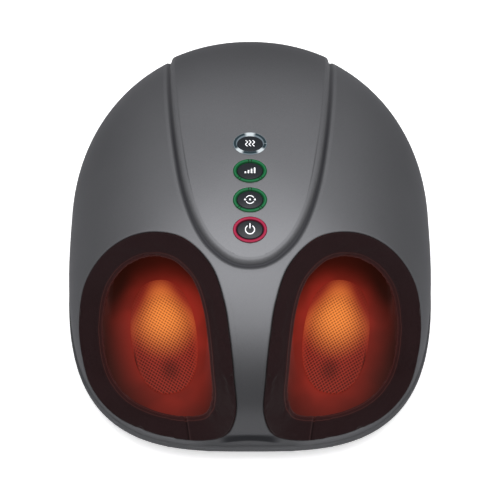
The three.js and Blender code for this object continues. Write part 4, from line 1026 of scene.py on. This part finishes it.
# Points of the collar's tube, before its cloth is filled: its section carried round the rim.
def collarTube(steps, sectionSteps):
    depth = rimDepths(steps)
    lines = []
    for inwards, height in spline(collarSection, sectionSteps, True):
        u, v = openingLoop(inwards, steps)
        lines.append(fromPlane(u, v, depth + height))
    return np.stack(lines, 1)


# How far each point of an even tube of cloth moves when its filling presses out. The cloth is cut a
# little too large, so that it puckers, and it is held along the part glued to the shell.
def fillCloth(points, held):
    mesh = bpy.data.meshes.new("filled_cloth")
    faces = gridFaces(*points.shape[:2], True, True)
    mesh.from_pydata((points.reshape(-1, 3) * metre).tolist(), [], faces.tolist())
    tube = bpy.data.objects.new("filled_cloth", mesh)
    bpy.context.scene.collection.objects.link(tube)
    pins = tube.vertex_groups.new(name="held")
    pins.add(np.flatnonzero(held.ravel()).tolist(), 1.0, "REPLACE")
    cloth = tube.modifiers.new("filling", "CLOTH")
    cloth.point_cache.frame_end = collar["frames"]
    settings = cloth.settings
    settings.quality = collar["quality"]
    settings.use_pressure = True
    settings.uniform_pressure_force = collar["pressure"]
    settings.effector_weights.gravity = 0
    settings.vertex_group_mass = "held"
    settings.shrink_min = -collar["cutLarger"]
    for step in range(1, collar["frames"] + 1):
        bpy.context.scene.frame_set(step)
    result = tube.evaluated_get(bpy.context.evaluated_depsgraph_get()).to_mesh()
    moved = np.empty(points.size)
    result.vertices.foreach_get("co", moved)
    bpy.context.scene.frame_set(1)
    bpy.data.objects.remove(tube)
    shift = moved.reshape(points.shape) / metre - points
    length = np.linalg.norm(shift, axis=-1, keepdims=True)
    print("cloth moved by at most", round(float(length.max()), 2), "mm")
    return shift * np.minimum(1, collar["mostSwell"] / np.maximum(length, 1e-9))


# A closed grid's values at more places along one of its directions, from the same waves.
def enlarge(values, count, axis):
    spectrum = np.fft.rfft(values, axis=axis)
    return np.fft.irfft(spectrum, count, axis=axis) * (count / values.shape[axis])


# The filling's shift of each point of the finished tube.
def collarSwell():
    inwards, height = spline(collarSection, collar["clothSectionSteps"], True).T
    held = (height < collar["heldBelow"]) | (inwards < collar["heldBeside"])
    points = collarTube(collar["clothSteps"], collar["clothSectionSteps"])
    shift = fillCloth(points, np.tile(held, (collar["clothSteps"], 1)))
    return enlarge(enlarge(shift, collar["steps"], 0), collar["sectionSteps"], 1)


# The filled tube, a little uneven, with two ridges of piping and a sewn valley at the heel: bells of
# height over its normals, on its upper side only.
def makeCollar(side, sign, filled):
    steps, sectionSteps = collar["steps"], collar["sectionSteps"]
    section = spline(collarSection, sectionSteps, True)
    points = collarTube(steps, sectionSteps) + filled
    normals = gridNormals(points, True, True)
    if np.sum(normals[:, sectionSteps // 4] * leanOut) < 0:
        normals = -normals
    swell = collar["unevenness"] * unevenness(points, collar["lumpSize"], 3)
    for place in piping["places"]:
        away = np.hypot(*(section - place).T)
        swell = swell + piping["height"] * np.exp(-((away / piping["width"]) ** 2))
    x, y, z = np.moveaxis(points, -1, 0)
    seam = np.abs(x - collar["seamAt"] + collar["seamSlope"] * (y + collar["seamRow"]))
    sewn = bump(seam, 0, collar["seamHalf"]) - collar["seamLipShare"] * bump(seam, *collar["seamLip"])
    swell = swell - (y < -collar["seamEnd"]) * collar["seamDepth"] * sewn
    top = smooth(section[:, 1], *collar["topUp"]) * smooth(section[:, 0], *collar["topIn"])
    points = (points + normals * (swell * top)[..., None]) * [sign, 1, 1]
    uv = gridPlaces(np.arange(steps) / steps, np.arange(sectionSteps) / sectionSteps)
    piece = makePiece(f"{side}_collar_pad", points, gridFaces(steps, sectionSteps, True, True),
                      "collar_fabric", replaces=[f"{side}_collar"], flip=sign > 0, uv=uv)


# The foot pocket's inside is two closed skins: the well under the opening, and the toe end. The well's
# rings run from the rim down to the flat sole, drawn inwards with the square of the way down, and
# sooner on the toe side.
def wellSkin():
    u, v = openingLoop(well["tuck"], well["steps"])
    depth = rimDepths(well["steps"]) - well["drop"]
    angle = np.arctan2(v + opening["down"], u + opening["out"])
    edge = fromPlane(u, v, depth)
    toeSide = np.maximum(0, np.sin(angle))[:, None]
    halfLength, middle = (well["toe"] + well["heel"]) / 2, (well["toe"] - well["heel"]) / 2
    flat = np.stack([well["halfWidth"] * np.cos(angle), halfLength * np.sin(angle) + middle, 0 * angle], 1)
    flat = soleToFrame(flat)
    lid = np.full(len(u), depth.max() + well["closedAbove"])
    lines = [fromPlane(u, v, lid), fromPlane(u, v, depth + well["openAbove"]), edge]
    for down in np.linspace(0, 1, well["layers"])[1:]:
        inwards = down**2 + (1 - (1 - down) ** 3 - down**2) * toeSide
        drop = down + (down**2 - down) * toeSide
        share = np.concatenate([inwards, inwards, drop], 1)
        lines.append(edge + (flat - edge) * share)
    return np.array(lines)


# The toe end: arches of rounded squares, squarer below, that shrink along the foot.
def toeSkin():
    angle = onceRound(toes["steps"])
    across, up = roundedSquare(angle, np.where(np.sin(angle) > 0, toes["archPower"], toes["solePower"]))
    lines = []
    for along, wide, tall in spline(toes["arches"], toes["rings"], False):
        lines.append(np.stack([
            across * wide * toes["halfWidth"], np.full(len(angle), along * toes["reach"]),
            tall * toes["instep"] * (1 + up) / 2 + toes["lift"]], 1))
    return soleToFrame(np.array(lines))


# Both skins as closed meshes in one object, joined by a voxel remesh and softened: its points,
# normals and faces.
def pocketMesh():
    whole = bmesh.new()
    for rings in (wellSkin(), toeSkin()):
        count, steps = rings.shape[:2]
        grid = [tuple(face) for face in gridFaces(count, steps, closedColumns=True)]
        ends = [tuple(range(steps))[::-1], tuple(range((count - 1) * steps, count * steps))]
        mesh = bpy.data.meshes.new("pocket_part")
        mesh.from_pydata((rings.reshape(-1, 3) * metre).tolist(), [], grid + ends)
        whole.from_mesh(mesh)
    joinedMesh = bpy.data.meshes.new("pocket")
    whole.to_mesh(joinedMesh)
    whole.free()
    pocket = bpy.data.objects.new("pocket", joinedMesh)
    bpy.context.scene.collection.objects.link(pocket)
    remesh = pocket.modifiers.new("remesh", "REMESH")
    remesh.mode = "VOXEL"
    remesh.voxel_size = liner["voxel"] * metre
    soften = pocket.modifiers.new("soften", "SMOOTH")
    soften.factor = liner["smoothing"]
    soften.iterations = liner["smoothRounds"]
    result = pocket.evaluated_get(bpy.context.evaluated_depsgraph_get()).to_mesh()
    points, normals = (np.empty(len(result.vertices) * 3) for _ in range(2))
    result.vertices.foreach_get("co", points)
    result.vertices.foreach_get("normal", normals)
    faces = np.empty(len(result.loops), np.int32)
    result.loops.foreach_get("vertex_index", faces)
    bpy.data.objects.remove(pocket)
    return points.reshape(-1, 3) / metre, normals.reshape(-1, 3), faces.reshape(-1, 4)


# The pocket, cut open above the rim and under the net, with folds along its normals, and let down a
# little round the net.
def makeLiner(side, sign):
    points, normals, faces = pocketMesh()
    pu, pv, pw = toPlane(points)
    u, v = openingLoop(well["tuck"] - liner["rimInset"], well["steps"])
    around = np.arctan2(v + opening["down"], u + opening["out"])
    order = np.argsort(around)
    rim = np.interp(np.arctan2(pv + opening["down"], pu + opening["out"]), around[order],
                    (rimDepths(well["steps"]) - well["drop"])[order], period=2 * math.pi)
    above = (pw > rim + well["tuckUp"]) & (depthInside(pu, pv, u, v) > -1)
    under = netShare(points)
    cut = above | (under < liner["holeShare"])
    faces = faces[~cut[faces].any(1)]
    tuck = well["underNet"] * (1 - smooth(under, *liner["letDown"]))
    upwards = soleToFrame([[0, 0, 1.0]]) - sole["middle"]
    points = points + normals * linerFolds(points)[:, None] - upwards * tuck[:, None]
    piece = makePiece(f"{side}_liner_cloth", points * [sign, 1, 1], faces, "liner_fabric",
                      replaces=[f"{side}_liner"], flip=sign > 0)
    thicken(piece, liner["wall"])


# How far out points of the flat sole lie under the net: 1 at its edge, and far more off the sole.
def netShare(points):
    x, y, z = np.moveaxis(frameToSole(points), -1, 0)
    middle = y + net["back"]
    share = np.abs(x / net["halfWidth"]) ** net["power"] + np.abs(middle / net["halfLength"]) ** net["power"]
    return np.where(z < 4, share, 9)


# Soft folds: gathers running down the well's walls, as waves round it, fading out on the flat sole.
def linerFolds(points):
    local = frameToSole(points)
    x, y, z = local.T
    around = np.arctan2(y - folds["middle"], x)
    wall = smooth(z, *folds["foot"]) * (1 - folds["topShare"] * smooth(z, *folds["top"]))
    wander = folds["wander"] * np.sin(z / folds["wanderPitch"]) + 0.8 * np.sin(around * 3)
    relief = folds["height"] * np.sin(around * folds["count"] + wander)
    relief = relief + folds["lumps"] * unevenness(local, folds["lumpSize"], 5)
    return wall * relief + folds["softness"] * unevenness(local, folds["softSize"], 8)


# The net: rings of a rounded oval, crowned by 1 less the square of the share of its size.
def makeNet(side, sign):
    share = np.linspace(net["firstShare"], 1, net["rings"])[:, None]
    x, y = roundedSquare(onceRound(net["steps"]), net["power"])
    height = net["crown"] * (1 - share**2) + net["lift"] + 0 * x
    flat = np.stack([share * x * net["halfWidth"], share * y * net["halfLength"], height], -1).reshape(-1, 3)
    points = soleToFrame(flat - [0, net["back"], 0]) * [sign, 1, 1]
    piece = makePiece(f"{side}_net_cloth", points, gridFaces(net["rings"], net["steps"], closedColumns=True),
                      "sole_net", replaces=[f"{side}_sole_net"], uv=flat[:, :2] / netLight["span"] + 0.5,
                      flip=sign < 0)
    thicken(piece, net["wall"])


# Light rings, buttons and their legends

ring = {
    # In from the ring's outer edge, and up.
    "section": [(0, -8), (0, 0.1), (0.2, 0.5), (0.6, 0.72), (1.6, 0.8), (2.6, 0.72), (3.0, 0.5), (3.2, 0.1),
                (3.2, -8)],
    "steps": 120, "sectionSteps": 40,
    "looks": {"power": "red_ring", "mode": "green_ring", "strength": "green_ring", "heat": "white_ring"},
    # Across the band, from 0 to 1: where its edges darken, and the bright line's place and half width.
    "edges": (0.26, 0.44), "line": (0.5, 0.17), "markCore": 0.35, "strength": 0.8, "unlit": 0.1,
}
cap = {
    "across": 12.0, "along": 9.0, "crown": 0.7, "edge": 0.7, "turn": 0.93, "steps": 96, "skirt": -3.0,
    "shares": np.concatenate([np.linspace(0.03, 0.93, 24), np.linspace(0.94, 1, 8)]),
}
# Radii, ends and widths of the legends' strokes.
strokes = {
    "lift": 0.05, "circle": (4.1, 122, 418), "stroke": (0, 1.0, 5.9), "width": 0.85, "thin": 0.75,
    "waves": (-3.2, 0, 3.2), "waveHeight": 3.4, "waveSwing": 0.9, "waveTurn": 1.25,
    "bars": ((-4.2, 1.8), (-1.4, 3.2), (1.4, 4.6), (4.2, 6.0)), "barFoot": -2.8, "barWidth": 1.3,
    "dots": (-4.4, 0, 4.4), "dotRadius": 0.45, "dotWidth": 0.9, "arcs": (30, 210), "arcRadius": 3.9, "arcTurn": 120,
}


# Points given across, up and out of a button's frame.
def onButton(frameOf, across, up, out):
    middle, along, normal = frameOf
    side = np.array([1.0, 0, 0])
    return middle + across[..., None] * side + up[..., None] * along + out[..., None] * normal


# The cap's face: crowned by 1 less the square of the share of its size, and rounded off at its edge.
def capHeight(across, up):
    share = np.clip(np.hypot(across / cap["across"], up / cap["along"]), 0, 1)
    return cap["crown"] * (1 - share**2) - cap["edge"] * smooth(share, cap["turn"], 1.0)


# A ring: its section carried round an oval. Its UV runs round it and across its band.
def makeRing(name, frameOf):
    angle = onceRound(ring["steps"])
    inwards, up = spline(ring["section"], ring["sectionSteps"], False).T
    turn = angle[:, None]
    points = onButton(frameOf, (controls["across"] - inwards) * np.cos(turn),
                      (controls["along"] - inwards) * np.sin(turn), up + 0 * turn)
    makePiece(f"{name}_ring", points, gridFaces(*points.shape[:2], closedRows=True), ring["looks"][name],
              replaces=[f"{name}_light_ring"], uv=gridPlaces(angle / (2 * math.pi), inwards / controls["band"]))


# A cap: oval rings on its face from near its middle outwards, and a skirt below the last one.
def makeButton(name, frameOf):
    share, angle = cap["shares"][:, None], onceRound(cap["steps"])
    across = share * cap["across"] * np.cos(angle)
    up = share * cap["along"] * np.sin(angle)
    top = onButton(frameOf, across, up, capHeight(across, up))
    skirt = onButton(frameOf, across[-1:], up[-1:], np.full((1, cap["steps"]), cap["skirt"]))
    points = np.vstack([top, skirt])
    makePiece(f"{name}_cap", points, gridFaces(*points.shape[:2], closedColumns=True), "button_face",
              body=f"{name}_button", replaces=[f"{name}_button"], flip=True)


# A ribbon of even width along a path: three lines of points on the button, and their faces.
def ribbon(path, width):
    along = unit(np.gradient(path, axis=0))
    aside = np.stack([-along[:, 1], along[:, 0]], 1) * width / 2
    rows = np.stack([path + aside, path, path - aside], 1)
    return rows, gridFaces(*rows.shape[:2])


def arc(radius, start, end, middle=(0, 0), count=40):
    angle = np.radians(np.linspace(start, end, count))
    return np.stack([middle[0] + radius * np.cos(angle), middle[1] + radius * np.sin(angle)], 1)


def line(x, low, high):
    return np.linspace((x, low), (x, high), 8)


# The ribbons of a legend: a broken circle and a stroke, heat waves, rising bars, or turning arcs.
def legendPaths(name):
    if name == "power":
        paths = [arc(*strokes["circle"]), line(*strokes["stroke"])]
        return [ribbon(path, strokes["width"]) for path in paths]
    if name == "heat":
        y = np.linspace(-strokes["waveHeight"], strokes["waveHeight"], 30)
        swing = strokes["waveSwing"] * np.sin(y * strokes["waveTurn"])
        return [ribbon(np.stack([x + swing, y], 1), strokes["thin"]) for x in strokes["waves"]]
    if name == "strength":
        bars = [line(x, strokes["barFoot"], strokes["barFoot"] + height) for x, height in strokes["bars"]]
        return [ribbon(bar, strokes["barWidth"]) for bar in bars]
    dots = [arc(strokes["dotRadius"], 0, 360, (x, 0), 20) for x in strokes["dots"]]
    arcs = [arc(strokes["arcRadius"], start, start + strokes["arcTurn"]) for start in strokes["arcs"]]
    return [ribbon(dot, strokes["dotWidth"]) for dot in dots] + [ribbon(path, strokes["thin"]) for path in arcs]


# A legend: its ribbons laid a hair above the cap's face.
def makeLegend(name, frameOf):
    points, faces, count = [], [], 0
    for rows, grid in legendPaths(name):
        across, up = rows.reshape(-1, 2).T
        points.append(onButton(frameOf, across, up, capHeight(across, up) + strokes["lift"]))
        faces.append(grid + count)
        count += len(across)
    makePiece(f"{name}_legend", np.vstack(points), np.vstack(faces), "legend", body=f"{name}_button", flip=True)


# Tray and rubber feet

tray = {
    "half": 181.0, "front": 234.0, "rear": 190.0, "sideTuck": 14.0, "frontTuck": 26.0, "frontPower": 3.16,
    "backPower": 3.1, "out": 0.2, "steps": 520, "wallHeight": 42.1, "wallShare": 0.985,
    "ledge": (0.25, 0.5, 0.75, 1), "inletHalf": 16.6, "inletBehind": 150, "inletLow": 10.6, "inletHigh": 31.0,
    # Lines from the underside to the belt: share of the tuck, inset, height.
    "section": [
        (1, 6, 5.85), (1, 2.5, 5.85), (1, 0.8, 6.1), (1, 0.1, 6.8), (0.9, 0, 9), (0.66, 0, 16), (0.4, 0, 24),
        (0.16, 0, 31.2), (0.04, 0, 35), (0, 0, 37), (0, 0, 40.3), (0, 0.25, 41.1), (0, 0.8, 41.7),
        (0, 1.5, 42.3), (0, 2.1, 43.3), (0, 2.5, 44.5),
    ],
}
foot = {
    "across": 125, "front": -146, "back": 128, "steps": 72, "sectionSteps": 40,
    "section": [(0.2, 0.1), (11.5, 0.1), (12.7, 0.4), (13.6, 1.2), (14, 2.4), (14, 5.7), (6, 5.7)],
}


# A line once round the crest: a rounded square with its own reach and power in front and behind.
def roundCrest(half, front, rear, frontPower, rearPower, height):
    angle = onceRound(tray["steps"])
    back = np.sin(angle) > 0
    x, y = roundedSquare(angle, np.where(back, rearPower, frontPower))
    return np.stack([half * x, dome["crest"] + np.where(back, rear, front) * y, np.full(len(angle), height)], 1)


def trayLine(tuck, inset, height):
    out = tray["out"] - inset
    half, rear = (tray[key] - tray["sideTuck"] * tuck + out for key in ("half", "rear"))
    front = tray["front"] - tray["frontTuck"] * tuck + out
    return roundCrest(half, front, rear, tray["frontPower"], tray["backPower"], height)


# The tray's lines, then a ledge in to just inside the dome's wall. It is left open round the inlet.
def makeTray():
    lines = [trayLine(*row) for row in tray["section"]]
    wall = roundCrest(dome["halfWidth"], dome["frontReach"], dome["backReach"], dome["planFront"],
                      dome["planBack"], tray["wallHeight"])
    inside = wall * [tray["wallShare"], tray["wallShare"], 1]
    points = np.array(lines + [lines[-1] * (1 - share) + inside * share for share in tray["ledge"]])
    faces = gridFaces(*points.shape[:2], closedColumns=True)
    x, y, z = points.reshape(-1, 3)[faces].mean(1).T
    inlet = (np.abs(x) < tray["inletHalf"]) & (y > tray["inletBehind"])
    inlet = inlet & (z > tray["inletLow"]) & (z < tray["inletHigh"])
    makePiece("tray_shell", points, faces[~inlet], "tray")


# The feet: a section turned round an upright axis at each of four places.
def makeFeet():
    section, angle = spline(foot["section"], foot["sectionSteps"], False), onceRound(foot["steps"])
    out, up = section[:, :1], section[:, 1:]
    for side, sign in (("left", -1), ("right", 1)):
        for end, y in (("front", foot["front"]), ("rear", foot["back"])):
            x = sign * foot["across"]
            rings = np.stack([x + out * np.cos(angle), y + out * np.sin(angle), up + 0 * angle], -1)
            makePiece(f"{end}_{side}_foot_pad", rings, gridFaces(*rings.shape[:2], closedColumns=True), "rubber",
                      replaces=[f"{end}_{side}_foot"], flip=True)


# The looks, named as the record's material slots are

paintColour = (0.13, 0.131, 0.138)
greenMarks = [(place, 0.008) for place in (0.235, 0.265, 0.615, 0.645, 0.855, 0.885)]
looks = {
    "shell": paint("shell_paint", paintColour, shade=shellPaintedShade),
    # Painted highlight: the panel's paint is lighter than the shell's; its painted shade darkens it towards the back.
    "panel": paint("panel_paint", tint(paintColour, 1.2), shade=panelPaintedShade),
    "groove": grooveLook("groove_paint", paintColour),
    # Painted shade: the tray's paint is darker than the shell's, low down under the belt.
    "tray": paint("tray_paint", tint(paintColour, 0.7), roughness=0.65),
    "button_face": plastic("button_face", (0.012, 0.014, 0.017), 0.42, 500.0, 0.01, 0.16),
    "black_plastic": plastic("black_plastic", (0.023, 0.023, 0.025)),
    "nylon": plastic("nylon", (0.66, 0.62, 0.52), 0.45),
    "rubber": plastic("rubber", (0.013, 0.013, 0.014), 0.8, 500.0, 0.08),
    "head_rubber": plastic("head_rubber", (0.035, 0.032, 0.031), 0.75, 400.0, 0.08),
    "airbag": plastic("airbag", (0.15, 0.16, 0.18), 0.65, 700.0, 0.05),
    "steel": metal("steel", (0.47, 0.48, 0.5)),
    "circuit_board": boardLook("circuit_board", (0.014, 0.09, 0.035)),
    "collar_fabric": collarLook("collar_fabric", (0.0075, 0.0035, 0.004)),
    "liner_fabric": linerLook("liner_fabric", (0.009, 0.003, 0.0025)),
    "sole_net": netLook("sole_net"),
    # Each ring's band, middle line, edge lines and marks, with the marks' places and reach round it.
    "red_ring": ringLook("red_ring", (0.4, 0.014, 0.06), (0.53, 0.03, 0.09), (0.091, 0.005, 0.016),
                         (0.2, 0.02, 0.05)),
    "green_ring": ringLook("green_ring", (0.008, 0.127, 0.042), (0.035, 0.24, 0.1), (0.005, 0.07, 0.02),
                           (0.006, 0.035, 0.014), greenMarks),
    "white_ring": ringLook("white_ring", (0.026, 0.045, 0.054), (0.03, 0.055, 0.066), (0.2, 0.25, 0.29),
                           (0.75, 0.82, 0.86), [(0.25, 0.07), (0.63, 0.06), (0.87, 0.06)]),
    "legend": legendLook("legend"),
}
print("materials made")


# All the pieces: the left side's as they are worked out, and the right side's turned over in x.

sides = (("left", 1), ("right", -1))
makeDome()
makeGroove()
makePanel()
for side, sign in sides:
    makeOpeningLip(side, sign)
print("dome and panel made")
filled = collarSwell()
for side, sign in sides:
    makeCollar(side, sign, filled)
    makeLiner(side, sign)
    makeNet(side, sign)
print("collars, liners and nets made")
for name, frameOf in zip(controls["names"], frames):
    makeRing(name, frameOf)
    makeButton(name, frameOf)
    makeLegend(name, frameOf)
makeTray()
makeFeet()
print("buttons, tray and feet made")


# Camera, light and floor

# Lamps: name, place, target, size and power, in metres and watts.
studio = {
    "target": (0, -0.002, 0.06), "elevation": math.radians(57), "distance": 1.5, "sensor": 36, "lens": 108,
    "clip": 50, "world": (0.32, 0.32, 0.33), "floorLight": (0.55, 0.55, 0.55), "glossyShare": 0.35,
    "floorHalf": 3000, "floorHeight": -0.05,
    "lamps": [
        ("key", (0.03, -0.54, 2.03), (0, -0.02, 0.1), 1.2, 46),
        ("left_fill", (-1.9, -0.5, 0.9), (0, 0, 0.1), 1.4, 1.2),
        ("right_fill", (1.9, -0.4, 0.9), (0, 0, 0.1), 1.4, 1.4),
    ],
}


def makeStage():
    scene = bpy.context.scene
    camera = bpy.data.objects.new("camera", bpy.data.cameras.new("camera"))
    scene.collection.objects.link(camera)
    back = Vector((0, -math.cos(studio["elevation"]), math.sin(studio["elevation"])))
    camera.location = Vector(studio["target"]) + back * studio["distance"]
    camera.rotation_euler = (-back).to_track_quat("-Z", "Y").to_euler()
    camera.data.sensor_width = studio["sensor"]
    camera.data.lens = studio["lens"]
    camera.data.clip_end = studio["clip"]
    scene.camera = camera
    scene.view_settings.view_transform = "Standard"
    makeBackdrop()
    for row in studio["lamps"]:
        lamp(*row)


def lamp(name, place, target, size, power):
    light = bpy.data.lights.new(name, "AREA")
    light.shape = "DISK"
    light.size = size
    light.energy = power
    made = bpy.data.objects.new(name, light)
    bpy.context.scene.collection.objects.link(made)
    made.location = place
    made.rotation_euler = (Vector(target) - Vector(place)).to_track_quat("-Z", "Y").to_euler()


# How white each kind of ray sees the backdrop: fully for the camera and clear things, and less for
# glossy ones, since the satin paint would otherwise carry a veil of it.
def whiteRays(tree):
    path = tree.nodes.new("ShaderNodeLightPath")
    camera, glossy, clear = (Socket(tree, path.outputs[n]) for n in (
        "Is Camera Ray", "Is Glossy Ray", "Is Transmission Ray"))
    return (camera + glossy * studio["glossyShare"] + clear).math("MINIMUM", 1.0)


# The world, and a wide square floor just below the feet.
def makeBackdrop():
    world = bpy.data.worlds.new("studio")
    bpy.context.scene.world = world
    world.use_nodes = True
    tree = world.node_tree
    seen = whiteRays(tree).blend(studio["world"], (1.0, 1.0, 1.0))
    tree.links.new(seen.output, tree.nodes["Background"].inputs["Color"])
    surface = Surface("floor", Base_Color=opaque((0.9, 0.9, 0.9)), Roughness=0.9)
    surface.glow(whiteRays(surface.tree).blend((0.0, 0.0, 0.0), studio["floorLight"]))
    half, height = studio["floorHalf"] * metre, studio["floorHeight"] * metre
    corners = [(x * half, y * half, height) for x, y in ((-1, -1), (1, -1), (1, 1), (-1, 1))]
    mesh = bpy.data.meshes.new("floor")
    mesh.from_pydata(corners, [], [(0, 1, 2, 3)])
    floor = bpy.data.objects.new("floor", mesh)
    bpy.context.scene.collection.objects.link(floor)
    mesh.materials.append(surface.material)


makeStage()


# Materials of the part's own nodes

def dressNodes():
    slots = {entry["node"]: entry["material_slot"] for entry in frame["record"]["subparts"]}
    for name, node in frame["nodes"].items():
        look = looks.get(slots[name], looks["black_plastic"])
        node.data.materials.clear()
        node.data.materials.append(look)


dressNodes()
